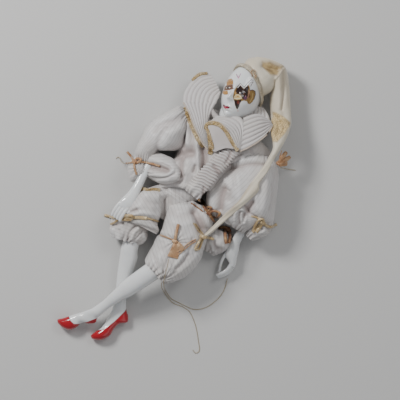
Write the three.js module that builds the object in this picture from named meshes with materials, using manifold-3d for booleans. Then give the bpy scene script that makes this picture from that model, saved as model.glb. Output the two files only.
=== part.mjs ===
// Jester doll lying on its back: porcelain head, hands and legs, soft body, striped satin costume.
// Millimetres. +Y runs from the feet to the head, +X to the doll's left, +Z up from the surface.
import * as THREE from 'three';
import { mergeVertices } from 'three/addons/utils/BufferGeometryUtils.js';
import Module from 'manifold-3d';

const wasm = await Module();
wasm.setup();

// Driving dimensions
const DOLL_CENTRE = [27.5, 4];     // middle of the doll's outline, from the point between its hips
const GAP = 0.35;                  // clearance between touching pieces
const COLLAR_THICKNESS = 1.8;
const RIB_DEPTH = 0.9;             // how far a cord stands out of the collar
const LACE_THICKNESS = 1.3;
const EDGE_SHARE_PER_MM = 0.02;    // a growing collar panel's edges move by this share of its size
const THREAD_DIAMETER = 1.0;
const KNOT_SHARE = 0.15;           // a bow's arms run on past its middle by this share of their length
const BLOCK = 700;                 // a block larger than the doll, for cutting
const SPACE_SIDES = 12;            // sides of the plain form that clears a place for a piece
const SPACE_ROOM = 1.06;           // and how much wider it is, so that its flats clear the piece

const HEAD = {
  centre: [11, 178, 35], halfWidth: 26.5, halfHeight: 40, halfDepth: 31,
  turn: -25, tilt: 7,              // degrees, the face towards the doll's right, the crown towards it
  columns: 18, rows: 15, faceCrowding: 0.5,
  crownFullness: 0.62, faceFullness: 0.3, jawFullness: 0.72, jawTaper: 0.2,
};
// Each form on the face is [x, y, height, half-width, half-height] in the head's own front view
const FACE_FORMS = [
  [0, 4, 3.0, 3.6, 9], [0, -11, 6.2, 4.0, 5], [4, -13, 1.6, 2.4, 2.4], [-4, -13, 1.6, 2.4, 2.4],
  [12, 2, -3.0, 7, 5], [-12, 2, -3.0, 7, 5], [12, 1, 1.8, 4.5, 3], [-12, 1, 1.8, 4.5, 3],
  [15, -13, 1.5, 8, 8], [-15, -13, 1.5, 8, 8], [0, -25.5, 1.8, 5, 2.2], [0, -29, 1.6, 4, 2],
  [0, -36, 1.5, 6, 4],
];

// A section is [edge x, edge y, opposite edge x, edge y, underside z, top z, pleat depth, lean]
const NECK = [[-6, 150, 20, 148, 24, 46], [-4, 136, 22, 134, 22, 44], [0, 112, 24, 110, 16, 38]];

const LEFT_LEG = [
  [24.4, -73, 47.6, -85, 31.5, 56.5], [13, -96, 37, -108, 28, 54], [4.5, -115, 27.5, -127, 24, 49],
  [-3.6, -134.5, 17.6, -145.5, 22.2, 43.6], [-6.3, -146.2, 11.3, -153.8, 22, 39.5],
  [-9.6, -157.2, 5.6, -163.8, 20.5, 36.5], [-12.4, -167.7, 0.4, -173.3, 19.5, 33],
  [-16, -177, -3.5, -183, 17.6, 30.6], [-21.5, -188, -6.5, -191.5, 15.5, 28.5],
  [-26, -194, -8.5, -197, 13, 26], [-31, -200, -7.5, -203, 10.5, 23.5],
  [-36, -205.5, -14, -209, 8.5, 22], [-41, -211, -24, -214, 6.5, 20],
  [-46, -217, -28, -224, 4, 20], [-50.5, -222, -34.5, -231, 2, 18.5],
  [-54, -225, -44, -233, 1, 16], [-55.8, -227.3, -52.3, -231, 4, 12],
];
const RIGHT_LEG = [
  [-32.9, -73.5, -11.1, -66.5, 8.5, 31.5], [-28.9, -93.6, -6.1, -86.4, 6, 30],
  [-25.2, -103.8, -0.8, -96.2, 3.2, 27.8], [-17.6, -123.3, 3.2, -116.7, 2.5, 23.5],
  [-8.5, -143.7, 8.5, -136.3, 2.6, 21], [-1.2, -157, 13.2, -151, 3, 19],
  [0.5, -166, 18, -161, 2.5, 18], [3, -173, 22.5, -168, 2, 17.5], [4, -178.5, 28, -173.5, 1.5, 16.5],
  [4.2, -184, 30.8, -181, 1.5, 16], [4.3, -190.5, 22.5, -188.5, 1.5, 15.5],
  [4.2, -199, 19.2, -198.5, 1, 15.5], [3, -207, 19, -209.5, 0.6, 16.5],
  [-0.2, -214, 13, -219.5, 0.4, 16], [-2.8, -220, 5, -224.5, 1, 13.5],
  [-3.6, -223, -0.6, -226, 4, 10],
];

const LEFT_FOREARM = {
  arm: [
    [101, 24, 113, 24, 8, 20], [100.5, 8, 113, 8, 7.5, 19.5], [100.5, -5, 113.5, -5, 6, 18.5],
    [100.8, -15, 117, -15, 4, 18.5], [101, -24, 120, -25, 2.5, 19], [104, -31, 123.4, -34, 1.5, 19.5],
    [113, -36.5, 123.4, -39.5, 2.5, 18.5],
  ],
  // Each finger is a run of [x, y, z, radius], and the next finger lies a step lower
  finger: [[117, -34, 16, 2.8], [116.6, -44, 16, 2.6], [113.6, -52, 15.5, 2.4], [107.3, -60, 15, 1.9]],
  fingerStep: [1.3, -0.6, -4], fingers: 4,
  thumb: [[104.2, -26, 11, 3.4], [103, -35, 11, 2.4], [104.4, -44, 11, 2], [108, -55.5, 11.5, 2]],
};
const RIGHT_FOREARM = {
  arm: [
    [-58.5, 26, -47, 27, 32, 43], [-58.5, 10, -46.5, 12, 33, 44], [-57.5, -8, -44.5, -9, 36, 47.5],
    [-59, -22, -43, -22, 39, 50.5], [-62, -33, -42.5, -33, 41.5, 52], [-64, -43, -45.5, -43, 43, 51],
  ],
  finger: [[-61.2, -40, 47.5, 2.7], [-62.2, -48, 47.5, 2.5], [-62.6, -55, 46, 2.3], [-62, -60.5, 44, 1.9]],
  fingerStep: [4.5, -0.4, 0.3], fingers: 4,
  thumb: [[-45, -27, 45.5, 3.2], [-43, -35, 46.5, 2.8], [-43, -42, 47.5, 2.4], [-45, -48, 48, 1.9]],
};

const TUNIC = [
  [-22, 6, 42, 8, 0, 46, 0, 5], [-26, 14, 44, 16, -2, 53, 0, 3], [-29, 30, 45, 32, -4, 57],
  [-28, 55, 46, 55, -4, 59],
  [-33, 85, 54, 85, -4, 58], [-44, 104, 78, 106, -3, 53], [-49, 119, 91, 120, 0, 46],
  [-34, 131, 78, 131, 4, 41], [-10, 141, 34, 140, 12, 36],
];
const FRONT_PANEL = [
  [28, 106, 50, 106, 48, 57], [23, 92, 47, 92, 52, 62.5], [18, 74, 45, 74, 54, 64.5],
  [13, 54, 42, 54, 54, 65],
  [12, 37, 39, 37, 52, 64], [11, 26, 37, 24, 48, 62], [15, 19, 32, 17, 44, 56],
];
const RIGHT_SLEEVE = {
  puff: [
    [-56, 121, -34, 112, 6, 42, 1], [-64, 111, -31, 98, -1, 54, 0.8], [-76, 90, -28, 82, -4, 59, 0],
    [-82.5, 70, -26, 66, -4, 58, 0], [-81, 50, -28, 48, -3, 55, 0.6], [-79.5, 33, -36, 37, 1, 50, 1.5],
    [-75, 23, -45, 30, 8, 44, 1.8], [-77, 14, -45, 24, 5, 46, 2.4], [-73, 3, -46, 18, 3, 46, 2.8],
    [-61, -7, -48, 14, 10, 42, 1.2],
  ],
  lobe: [
    [-64, 40, -60, 26, 12, 34], [-50, 48.5, -50, 15, 4, 47], [-38, 50, -36, 11.5, 3, 56],
    [-24, 50.5, -22, 13.5, 16, 62], [-13, 44, -11, 20, 34, 64], [-6.5, 35, -5.5, 24, 48, 60],
  ],
};
const LEFT_SLEEVE = {
  puff: [
    [58, 113, 94, 122, 8, 44, 1], [51, 102, 107, 112, 0, 54, 0.8], [46, 88, 119, 92, -4, 60, 0],
    [43, 72, 127, 72, -4, 63, 0], [37, 52, 135, 54, -4, 63, 0], [36, 42, 138, 42, -3, 60, 0],
    [39, 28, 126, 29, -1, 57, 1], [46, 17, 114, 17, 3, 51, 1.6], [54, 11, 110, 9, 10, 40, 1],
  ],
  frill: [
    [104, 42, 138.5, 44, 10, 44, 1.2], [110, 31, 141.5, 31, 4, 46, 2.2], [112, 18, 137.5, 20, 4, 42, 2.6],
    [114, 8.5, 126, 7, 10, 32, 1.2],
  ],
};
const RIGHT_TROUSERS = {
  leg: [
    [-24, 13, 8, 13, 0, 34], [-32, 3, -2, 3, -2, 44], [-45, -11, -11, -9, -4, 54],
    [-49, -28, -2, -30, -4, 57],
    [-53, -42, 8.5, -45, -4, 54, 0.5], [-58, -55, 3, -56, 2, 45, 1.6], [-60, -64, -2, -61, 3, 40, 2],
    [-58, -76, -3, -72, 1, 40, 2.8], [-50, -89, -12, -80, 5, 36, 2.4],
  ],
  seat: [
    [-22, 13, 24, 13, 0, 45], [-20, 2, 22, 0, 0, 46], [-16, -14, 12, -16, 0, 38], [-6, -30, 6, -31, 0, 28],
  ],
};
const LEFT_TROUSERS = {
  leg: [
    [12, 13, 56, 15, 0, 38], [4, -2, 66, 2, -2, 53], [1, -14, 69, -16, -4, 59], [5, -32, 73, -34, -4, 63],
    [9.5, -50, 76, -52, -4, 64, 1], [9.5, -66, 75, -66, -3, 63, 1], [8, -78, 70, -81, 2, 62, 1],
    [9, -88, 62, -94, 10, 61, 1.4], [12, -94, 50, -106, 22, 58, 1.6],
  ],
  hip: [
    [58, -3, 94, -3, 0, 22], [62, -12, 101, -12, -2, 28], [64, -26, 100, -26, -2, 30],
    [72, -38, 90, -39, 0, 18],
  ],
};

// The cap's dome follows the head, behind a brim that is a plane through three points
const CAP_DOME = {
  brim: [[-17.5, 206.5, 35], [38.5, 179, 35], [16.5, 206.5, 65]], cloth: 2.2,
  detail: { columns: 14, rows: 11 },
};
const CAP_TAIL = [
  [-6, 206, 38, 190, 4, 56], [-8, 221, 45, 202, 1, 58], [-1, 231, 46, 211, 2, 54],
  [20, 240, 45, 213, 4, 50], [44, 241, 44, 206, 6, 48],
  [62, 221, 49, 190, 9, 44], [79, 196, 59, 174, 15, 43], [92, 175, 66, 162, 24, 46],
  [95.5, 155, 73, 150, 38, 56], [95.5, 136, 85, 135, 48, 61], [95, 120, 87, 119, 53, 63],
  [96, 100, 86, 100, 57, 66], [94, 82, 84, 81, 60, 68], [98, 71, 83, 70, 61, 69],
  [92, 50, 82, 49, 60, 67], [88, 38, 79, 37, 57, 64], [82, 20, 73, 19, 50, 57],
  [75, 0, 68, -1, 52, 58], [70, -14, 64.5, -15, 57, 62], [66, -21, 62, -22, 60, 63],
];
const CAP_LACE_WIDTH = 9;
const LACE_LOWEST = 8;             // the lace ends beside the head, above the surface

// A collar panel has three cords' routes, next to the neck, halfway and along its outer edge
const COLLAR_PANELS = {
  standing: {
    inner: [[-16, 163, 36], [-23, 152, 43], [-28, 142, 48]],
    middle: [[-43, 182.5, 24], [-45, 160, 38], [-46, 137, 48]],
    outer: [[-56, 172, 20], [-61, 155, 31], [-60, 137, 42]], ribs: 3, steps: 2,
  },
  right: {
    inner: [[-29, 144, 46.5], [-14, 136, 50], [-8, 124, 56], [-3, 112, 60]],
    middle: [[-46, 139, 46.6], [-34, 121, 57], [-16, 108, 61], [5, 97, 62.5]],
    outer: [[-60, 138, 41.3], [-50, 119, 54], [-20, 100, 61], [16, 82, 62.5]], ribs: 4, steps: 2,
  },
  front: {
    inner: [[-3, 134.4, 49.6], [12, 149, 49], [28, 152, 49], [42, 142, 52], [47, 112, 59]],
    middle: [[-7, 124, 57], [6, 136, 57], [22, 138, 59], [36, 127, 61], [46, 109, 62]],
    outer: [[-9, 111, 61], [-4, 121, 62], [10, 124, 64], [27, 116, 64], [45, 105, 63]], ribs: 3, steps: 4,
  },
  lining: {
    inner: [[-8, 111, 62], [8, 122, 63], [25, 115, 63], [40, 107, 62.5]],
    middle: [[-2, 106, 62.5], [12, 107, 63.5], [24, 104, 63.5], [32, 102, 63.5]],
    outer: [[4, 99, 62], [15, 84, 61.6], [24, 86, 63.4], [30, 99, 64]], ribs: 0, steps: 2,
  },
  left: {
    inner: [[42.6, 109.5, 60.6], [42.8, 130, 56], [37.8, 145, 51], [31, 153, 47]],
    middle: [[50, 108, 61], [53, 130, 58], [53, 150, 51], [51, 164, 42]],
    outer: [[57, 107, 60], [63, 122, 58], [70, 142, 51], [73, 157, 42]], ribs: 3, steps: 2,
  },
  behind: {
    inner: [[34, 150, 42], [37, 162, 37], [40, 172, 31]],
    middle: [[50, 156, 41], [51, 170, 33], [50, 178, 26]],
    outer: [[66, 154, 39], [66, 163, 33], [61, 172, 28]], ribs: 0, steps: 2,
  },
};
const NECKBAND = {
  path: [[-26, 143, 46], [-10, 133, 47], [6, 131, 46], [20, 146, 44], [34, 153, 43]], radius: 3.8,
};

// A bow has a knot and arms, each [end x, end y, end z, width, thickness]
const BOWS = {
  right_cuff_bow: {
    knot: [-72, 18, 46],
    arms: [[-90.5, 27, 41, 6, 4], [-80, 14, 40, 6, 4], [-60, 27, 50, 6, 3.5]],
  },
  right_knee_bow: {
    knot: [-52, -57, 52.5],
    arms: [[-69.5, -67, 46, 6, 4], [-60, -47, 54.5, 6, 3.5], [-35, -50, 54, 6, 3.5]],
  },
  left_knee_bow: {
    knot: [32, -49, 66],
    arms: [[26, -25, 66.5, 6.5, 4], [37, -72, 65.5, 9, 4], [57, -31, 65, 4.5, 3]],
  },
  cap_tip_bow: {
    knot: [63, -25.5, 62],
    arms: [[82, -17, 51, 5.5, 4], [62, -45, 62.5, 7.5, 4], [45, -15, 64, 4, 3]],
  },
  waist_bow: {
    knot: [50, 11.5, 55],
    arms: [[35.5, 20, 60, 7, 4], [69, 16, 54, 6, 4], [66, 3, 54, 7, 4]],
  },
  hip_bow: {
    knot: [86, 1, 30], arms: [[74, 2, 32, 6, 4], [98, -6, 29, 6.5, 4], [95, -17, 31, 5, 3.5]],
  },
  left_cuff_bow: {
    knot: [124, 35, 48], arms: [[125, 12, 45, 7.5, 4.5], [115, 17, 46, 7, 4], [145.5, 43, 43, 5.5, 4]],
  },
  shoulder_bow: {
    knot: [106, 119, 40], arms: [[105, 138.5, 38, 8, 6], [114, 134.5, 37, 8, 6]],
  },
};

// The threads' routes. They lie on the surface, apart from where they come down over the cloth
const LYING = THREAD_DIAMETER / 2 + 0.05;
const KNEE_THREAD_START = [
  [37.5, -73, 69], [39, -78, 68.5], [41, -84, 67.5], [43, -91, 66], [45, -98, 63.5], [47, -104.5, 59.5],
];
const THREADS = {
  hand_thread: {
    path: [...KNEE_THREAD_START, [49.5, -108.5, 50], [51, -111, 36], [53, -113.5, 20], [56, -116, 8],
      [61, -118.5, 2.6], [68, -121.5, 0.9], [76, -121.5, LYING], [84, -121, LYING], [92, -120.5, LYING],
      [101, -119.5, LYING], [110, -115, LYING], [118, -106.5, LYING], [124, -94, LYING], [127, -80, LYING],
      [126, -68, 1.1], [122.8, -57, 4.1]],
    steps: 28,
  },
  loose_thread: {
    path: [[45, -107.5, 52], [46.5, -110.5, 38], [48.5, -113.5, 22], [52, -116.5, 9], [57, -119.5, 2.8],
      [65, -123.5, 0.9], [75, -125.5, LYING], [84, -124, LYING], [92, -123.5, LYING], [101, -125, LYING],
      [110, -131, LYING], [118, -138, LYING], [126, -147, LYING], [133, -156, LYING], [138, -162, LYING],
      [139.5, -167, LYING], [136.5, -171, LYING], [131, -169, LYING]],
    steps: 24,
  },
  cuff_thread: {
    path: [[-82.5, 11.5, 34], [-87, 10.5, 22], [-91, 12, 9], [-94.5, 14.5, 2.4], [-97, 14, 0.8],
      [-98, 11, LYING]],
    steps: 9,
  },
  shoulder_thread: {
    path: [[109, 115.5, 30], [113, 117, 15], [117, 118.5, 5], [121, 120, 1.6], [125, 121.5, 0.7],
      [130, 123.5, LYING]],
    steps: 9,
  },
};

const COLOURS = {
  porcelain: 0xe9ebea, satin: 0xd8d2cf, panel: 0xcdc5c3, cap: 0xd9cdb0, lace: 0xb9955a, ribbon: 0xa8713d,
  thread: 0xc2a468,
};

// Closed meshes and joining
function closedMesh(points, triangles) {
  const geometry = new THREE.BufferGeometry();
  geometry.setAttribute('position', new THREE.Float32BufferAttribute(points.flat(), 3));
  geometry.setIndex(triangles.flat());
  return mergeVertices(geometry, 1e-4);
}

function signedVolume(geometry) {
  const at = geometry.getAttribute('position');
  const corners = [0, 1, 2].map(() => new THREE.Vector3());
  let volume = 0;
  for (let i = 0; i < geometry.index.count; i += 3) {
    corners.forEach((corner, k) => corner.fromBufferAttribute(at, geometry.index.getX(i + k)));
    volume += corners[0].dot(corners[1].cross(corners[2])) / 6;
  }
  return volume;
}

function solid(geometry) {
  const triangles = Uint32Array.from(geometry.index.array);
  if (signedVolume(geometry) < 0) {
    for (let i = 0; i < triangles.length; i += 3) {
      [triangles[i], triangles[i + 1]] = [triangles[i + 1], triangles[i]];
    }
  }
  const position = Float32Array.from(geometry.getAttribute('position').array);
  return new wasm.Manifold(new wasm.Mesh({ numProp: 3, vertProperties: position, triVerts: triangles }));
}

function join(first, ...others) {
  return others.reduce((whole, part) => whole.add(part), first);
}

function carve(body, ...others) {
  const left = others.reduce((whole, part) => whole.subtract(part), body);
  return left.decompose().reduce((most, part) => (part.volume() > most.volume() ? part : most));
}

// Smooth values between the rows of a table, at a share of its length, also just past its ends
function between(table, share) {
  const place = share * (table.length - 1);
  const i = Math.min(Math.max(Math.floor(place), 0), table.length - 2);
  const t = place - i;
  const row = (k) => table[Math.min(Math.max(k, 0), table.length - 1)];
  const [a, b, c, d] = [row(i - 1), row(i), row(i + 1), row(i + 2)];
  return b.map((_, k) => {
    const [p, q, r, s] = [a, b, c, d].map((values) => values[k]);
    return q + 0.5 * t * (r - p + t * (2 * p - 5 * q + 4 * r - s + t * (3 * (q - r) + s - p)));
  });
}

// A closed body through rings of points, with a middle point at each end
function bodyThroughRings(rings) {
  const sides = rings[0].length;
  const points = rings.flat();
  const triangles = [];
  for (let i = 0; i + 1 < rings.length; i++) {
    for (let k = 0; k < sides; k++) {
      const [a, b] = [i * sides + k, i * sides + (k + 1) % sides];
      triangles.push([a, b, b + sides], [a, b + sides, a + sides]);
    }
  }
  [[0, 1], [rings.length - 1, -1]].forEach(([i, way]) => {
    const middle = rings[i].reduce((sum, p) => sum.map((v, axis) => v + p[axis] / sides), [0, 0, 0]);
    points.push(middle);
    for (let k = 0; k < sides; k++) {
      const edge = [i * sides + (k + 1) % sides, i * sides + k];
      triangles.push([...(way > 0 ? edge : edge.reverse()), points.length - 1]);
    }
  });
  return closedMesh(points, triangles);
}

// A body with upright oval sections between its two edges, flat where it meets the surface.
// Grown, it is the space that the piece takes: plain, with few sides, drawn round the piece
function sectionBody(table, { sides, rings = table.length, power = 2, pleats = 0, grow = 0 }) {
  const rows = Array.from({ length: rings }, (_, i) => {
    const row = between(table.map((r) => [...r, ...Array(8 - r.length).fill(0)]), i / (rings - 1));
    return { middle: [(row[0] + row[2]) / 2, (row[1] + row[3]) / 2], row };
  });
  const stretchEnd = (end, next) => {
    const away = [0, 1].map((k) => end.middle[k] - next.middle[k]);
    const long = Math.hypot(...away) || 1;
    return away.map((v) => grow * v / long);
  };
  const corners = grow ? SPACE_SIDES : sides;
  const round = grow ? SPACE_ROOM : 1;
  const bent = (value) => Math.sign(value) * Math.abs(value) ** (2 / power);
  return bodyThroughRings(rows.map(({ middle, row }, i) => {
    const [x0, y0, x1, y1, low, high, pleat, lean] = row;
    const half = Math.hypot(x1 - x0, y1 - y0) / 2;
    const across = [(x1 - x0) / 2 / half, (y1 - y0) / 2 / half];
    const move = i === 0 ? stretchEnd(rows[0], rows[1])
      : i === rings - 1 ? stretchEnd(rows[i], rows[i - 1]) : [0, 0];
    return Array.from({ length: corners }, (_, k) => {
      const angle = 2 * Math.PI * k / corners;
      const wave = pleat * (grow ? 1 : Math.cos(pleats * angle));
      const side = (half + grow + wave) * round * bent(Math.cos(angle));
      const up = ((high - low) / 2 + grow + wave) * round * bent(Math.sin(angle));
      const forward = lean * Math.sin(angle);
      return [
        middle[0] + move[0] + across[0] * side - across[1] * forward,
        middle[1] + move[1] + across[1] * side + across[0] * forward,
        Math.max((low + high) / 2 + up, -grow),
      ];
    });
  }));
}

// A round body along a run of [x, y, z, radius]
function taperedRod(run, { sides = 8, rings = run.length, grow = 0 } = {}) {
  const rows = Array.from({ length: rings }, (_, i) => between(run, i / (rings - 1)));
  const at = rows.map((row) => new THREE.Vector3(...row));
  return bodyThroughRings(rows.map((row, i) => {
    const along = at[Math.min(i + 1, rings - 1)].clone().sub(at[Math.max(i - 1, 0)]).normalize();
    const across = new THREE.Vector3(0, 0, 1).cross(along).normalize();
    const upright = along.clone().cross(across);
    const outward = i === 0 ? -grow : i === rings - 1 ? grow : 0;
    return Array.from({ length: sides }, (_, k) => {
      const angle = 2 * Math.PI * k / sides;
      return at[i].clone().addScaledVector(along, outward)
        .addScaledVector(across, (row[3] + grow) * Math.cos(angle))
        .addScaledVector(upright, (row[3] + grow) * Math.sin(angle)).toArray();
    });
  }));
}

// Porcelain
function headForm(swell, { columns, rows } = HEAD) {
  const { halfWidth, halfHeight, halfDepth, faceCrowding } = HEAD;
  const { crownFullness, faceFullness, jawFullness, jawTaper } = HEAD;
  const rings = Array.from({ length: rows }, (_, i) => {
    const down = Math.PI * (i + 0.35) / (rows - 0.3);
    const low = Math.max(0, -Math.cos(down));
    return Array.from({ length: columns }, (_, k) => {
      const turn = 2 * Math.PI * k / columns - faceCrowding * Math.sin(2 * Math.PI * k / columns);
      const front = Math.max(0, Math.cos(turn));
      const taper = 1 - jawTaper * low ** 3;
      const width = halfWidth * taper * Math.sin(down) ** (low ? jawFullness : crownFullness);
      const fullness = low ? 1 - (1 - faceFullness) * front : crownFullness;
      const chin = 1 - 0.08 * low ** 2 - (1 - front) * 0.25 * low;
      const depth = halfDepth * chin * Math.sin(down) ** fullness;
      const x = width * Math.sin(turn);
      const y = halfHeight * Math.cos(down);
      const form = FACE_FORMS.reduce((sum, [cx, cy, height, wide, tall]) => (
        sum + height * Math.exp(-(((x - cx) / wide) ** 2) - ((y - cy) / tall) ** 2)), 0);
      const z = depth * Math.cos(turn) + form * Math.min(1, 2.5 * front);
      const long = Math.hypot(x, y, z);
      return [x, y, z].map((v) => v * (1 + swell / long));
    });
  });
  const degrees = Math.PI / 180;
  return bodyThroughRings(rings)
    .rotateY(HEAD.turn * degrees).rotateZ(HEAD.tilt * degrees).translate(...HEAD.centre);
}

function head(grow = 0) {
  return join(solid(headForm(2 * grow)), solid(sectionBody(NECK, { sides: 10, grow })));
}

function forearm({ arm, finger, fingerStep, fingers, thumb }, grow = 0) {
  const parts = [solid(taperedRod(thumb, { sides: 6, rings: 5, grow }))];
  for (let k = 0; k < fingers; k++) {
    const run = finger.map((row) => row.map((v, axis) => v + k * (fingerStep[axis] ?? 0)));
    parts.push(solid(taperedRod(run, { sides: 5, rings: 4, grow })));
  }
  return join(solid(sectionBody(arm, { sides: 8, rings: 6, power: 2.2, grow })), ...parts);
}

function lowerLeg(table, grow = 0) {
  return solid(sectionBody(table, { sides: 10, power: 2.1, grow }));
}

// Costume
function tunic(grow = 0) {
  return solid(sectionBody(TUNIC, { sides: 14, rings: 8, power: 2.6, grow }));
}

function frontPanel(grow = 0) {
  return solid(sectionBody(FRONT_PANEL, { sides: 10, rings: 8, power: 2.6, grow }));
}

function rightSleeve(grow = 0) {
  return join(
    solid(sectionBody(RIGHT_SLEEVE.puff, { sides: 14, rings: 8, power: 2.3, pleats: 4, grow })),
    solid(sectionBody(RIGHT_SLEEVE.lobe, { sides: 8, rings: 5, power: 2.3, grow })));
}

function leftSleeve(grow = 0) {
  return join(
    solid(sectionBody(LEFT_SLEEVE.puff, { sides: 14, rings: 8, power: 2.4, pleats: 4, grow })),
    solid(sectionBody(LEFT_SLEEVE.frill, { sides: 12, rings: 4, power: 2.2, pleats: 4, grow })));
}

function rightTrousers(grow = 0) {
  return join(
    solid(sectionBody(RIGHT_TROUSERS.leg, { sides: 14, rings: 8, power: 2.4, pleats: 4, grow })),
    solid(sectionBody(RIGHT_TROUSERS.seat, { sides: 6, rings: 4, power: 2.6, grow })));
}

function leftTrousers(grow = 0) {
  return join(
    solid(sectionBody(LEFT_TROUSERS.leg, { sides: 14, rings: 8, power: 2.4, pleats: 4, grow })),
    solid(sectionBody(LEFT_TROUSERS.hip, { sides: 6, rings: 4, power: 2.3, grow })));
}

// The head's side of the cap's brim, or of a line behind it, as a block
function beforeBrim(behind) {
  const corners = CAP_DOME.brim.map((point) => new THREE.Vector3(...point));
  const brim = new THREE.Plane().setFromCoplanarPoints(...corners);
  if (brim.normal.y > 0) brim.negate();
  const block = new THREE.BoxGeometry(BLOCK, BLOCK, BLOCK).translate(0, 0, BLOCK / 2);
  block.applyQuaternion(new THREE.Quaternion().setFromUnitVectors(new THREE.Vector3(0, 0, 1), brim.normal));
  return plainSolid(block.translate(...corners[0].addScaledVector(brim.normal, -behind).toArray()));
}

function cap(grow = 0) {
  const dome = solid(headForm(CAP_DOME.cloth + grow, CAP_DOME.detail));
  const tail = solid(sectionBody(CAP_TAIL, { sides: 8, power: 2.2, grow }));
  return join(dome.subtract(beforeBrim(-grow)), tail);
}

function capLace(grow = 0) {
  const over = CAP_DOME.cloth + GAP + LACE_THICKNESS;
  return solid(headForm(over + grow, CAP_DOME.detail)).subtract(beforeBrim(-grow))
    .intersect(beforeBrim(CAP_LACE_WIDTH + grow)).subtract(blockBelow(LACE_LOWEST - grow));
}

// A corded sheet between three routes, thick and with its cords along the routes
function collarPanel({ inner, middle, outer, ribs, steps }, grow) {
  const columns = Math.max(2 * ribs, 2);
  const place = (u, v) => {
    const [a, b, c] = [inner, middle, outer].map((route) => new THREE.Vector3(...between(route, u)));
    a.multiplyScalar((1 - v) * (1 - 2 * v)).addScaledVector(b, 4 * v * (1 - v));
    return a.addScaledVector(c, v * (2 * v - 1));
  };
  const [margin, near] = [grow * EDGE_SHARE_PER_MM, 0.02];
  const rings = Array.from({ length: steps + 1 }, (_, i) => {
    const u = (1 + 2 * margin) * i / steps - margin;
    const row = Array.from({ length: columns + 1 }, (_, j) => {
      const v = (1 + 2 * margin) * j / columns - margin;
      const along = place(u + near, v).sub(place(u - near, v));
      const across = place(u, v + near).sub(place(u, v - near));
      const out = along.cross(across).normalize();
      if (out.z < 0) out.negate();
      return { at: place(u, v), out, rib: ribs ? RIB_DEPTH * (j % 2 ? 0.5 : -0.5) : 0 };
    });
    const face = (way) => row.map(({ at, out, rib }) => (
      at.clone().addScaledVector(out, way * (COLLAR_THICKNESS / 2 + grow) + rib).toArray()));
    return [...face(1), ...face(-1).reverse()];
  });
  return solid(stripBody(rings));
}

// Like bodyThroughRings, with each end closed straight across from the one face to the other
function stripBody(rings) {
  const sides = rings[0].length;
  const triangles = [];
  for (let i = 0; i + 1 < rings.length; i++) {
    for (let k = 0; k < sides; k++) {
      const [a, b] = [i * sides + k, i * sides + (k + 1) % sides];
      triangles.push([a, b, b + sides], [a, b + sides, a + sides]);
    }
  }
  [[0, false], [rings.length - 1, true]].forEach(([i, last]) => {
    for (let k = 0; k + 1 < sides / 2; k++) {
      const [a, b, c, d] = [k, k + 1, sides - 2 - k, sides - 1 - k].map((n) => i * sides + n);
      triangles.push(...(last ? [[a, b, c], [a, c, d]] : [[b, a, d], [b, d, c]]));
    }
  });
  return closedMesh(rings.flat(), triangles);
}

function collar(grow = 0) {
  const run = NECKBAND.path.map((point) => [...point, NECKBAND.radius]);
  const panels = Object.values(COLLAR_PANELS).map((panel) => collarPanel(panel, grow));
  return join(solid(taperedRod(run, { sides: 6, rings: 6, grow })), ...panels);
}

function bow({ knot, arms }, grow = 0) {
  return join(...arms.map(([x, y, z, width, thick]) => {
    const long = Math.hypot(x - knot[0], y - knot[1]);
    const across = [-(y - knot[1]) / long, (x - knot[0]) / long];
    const section = (share, swell) => {
      const middle = [x, y, z].map((v, axis) => knot[axis] + (v - knot[axis]) * share);
      const half = width * swell / 2;
      return [
        middle[0] - across[0] * half, middle[1] - across[1] * half,
        middle[0] + across[0] * half, middle[1] + across[1] * half,
        middle[2] - thick * swell / 2, middle[2] + thick * swell / 2,
      ];
    };
    return solid(sectionBody([section(-KNOT_SHARE, 0.8), section(1, 1)], { sides: 5, grow }));
  }));
}

function thread({ path, steps }) {
  const circle = new THREE.Shape();
  circle.absarc(0, 0, THREAD_DIAMETER / 2, 0, 2 * Math.PI);
  const curve = new THREE.CatmullRomCurve3(path.map((point) => new THREE.Vector3(...point)));
  const settings = { steps, curveSegments: 4, bevelEnabled: false, extrudePath: curve };
  return plainSolid(new THREE.ExtrudeGeometry(circle, settings));
}

// A solid from one of three.js's own shapes
function plainSolid(geometry) {
  geometry.deleteAttribute('normal');
  geometry.deleteAttribute('uv');
  return solid(mergeVertices(geometry, 1e-4));
}

// A block with its top face at a height, for cutting off what is under it
function blockBelow(height) {
  return plainSolid(new THREE.BoxGeometry(BLOCK, BLOCK, BLOCK).translate(0, 0, height - BLOCK / 2));
}

// Each piece is carved clear of the pieces that were made before it
const made = {};
const taken = [blockBelow(0)];

function make(name, form, ...settings) {
  made[name] = carve(form(...settings, 0), ...taken);
  taken.push(form(...settings, GAP));
}

function material(name, roughness, metalness = 0) {
  return new THREE.MeshStandardMaterial({ name, color: COLOURS[name], roughness, metalness });
}
const MATERIALS = {
  porcelain: material('porcelain', 0.18), satin: material('satin', 0.55), panel: material('panel', 0.6),
  cap: material('cap', 0.5), lace: material('lace', 0.45, 0.5), ribbon: material('ribbon', 0.4, 0.2),
  thread: material('thread', 0.4, 0.6),
};

make('head', head);
make('right_forearm', forearm, RIGHT_FOREARM);
make('left_forearm', forearm, LEFT_FOREARM);
make('right_lower_leg', lowerLeg, RIGHT_LEG);
make('left_lower_leg', lowerLeg, LEFT_LEG);
make('tunic', tunic);
make('left_trouser_leg', leftTrousers);
make('right_trouser_leg', rightTrousers);
make('left_sleeve', leftSleeve);
make('right_sleeve', rightSleeve);
make('front_panel', frontPanel);
make('cap', cap);
make('cap_lace', capLace);
make('collar', collar);
Object.entries(BOWS).forEach(([name, shape]) => make(name, bow, shape));
Object.entries(THREADS).forEach(([name, shape]) => { made[name] = thread(shape); });

const FINISH_OF = {
  head: 'porcelain', right_forearm: 'porcelain', left_forearm: 'porcelain', right_lower_leg: 'porcelain',
  left_lower_leg: 'porcelain', cap: 'cap', cap_lace: 'lace', front_panel: 'panel',
};

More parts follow.
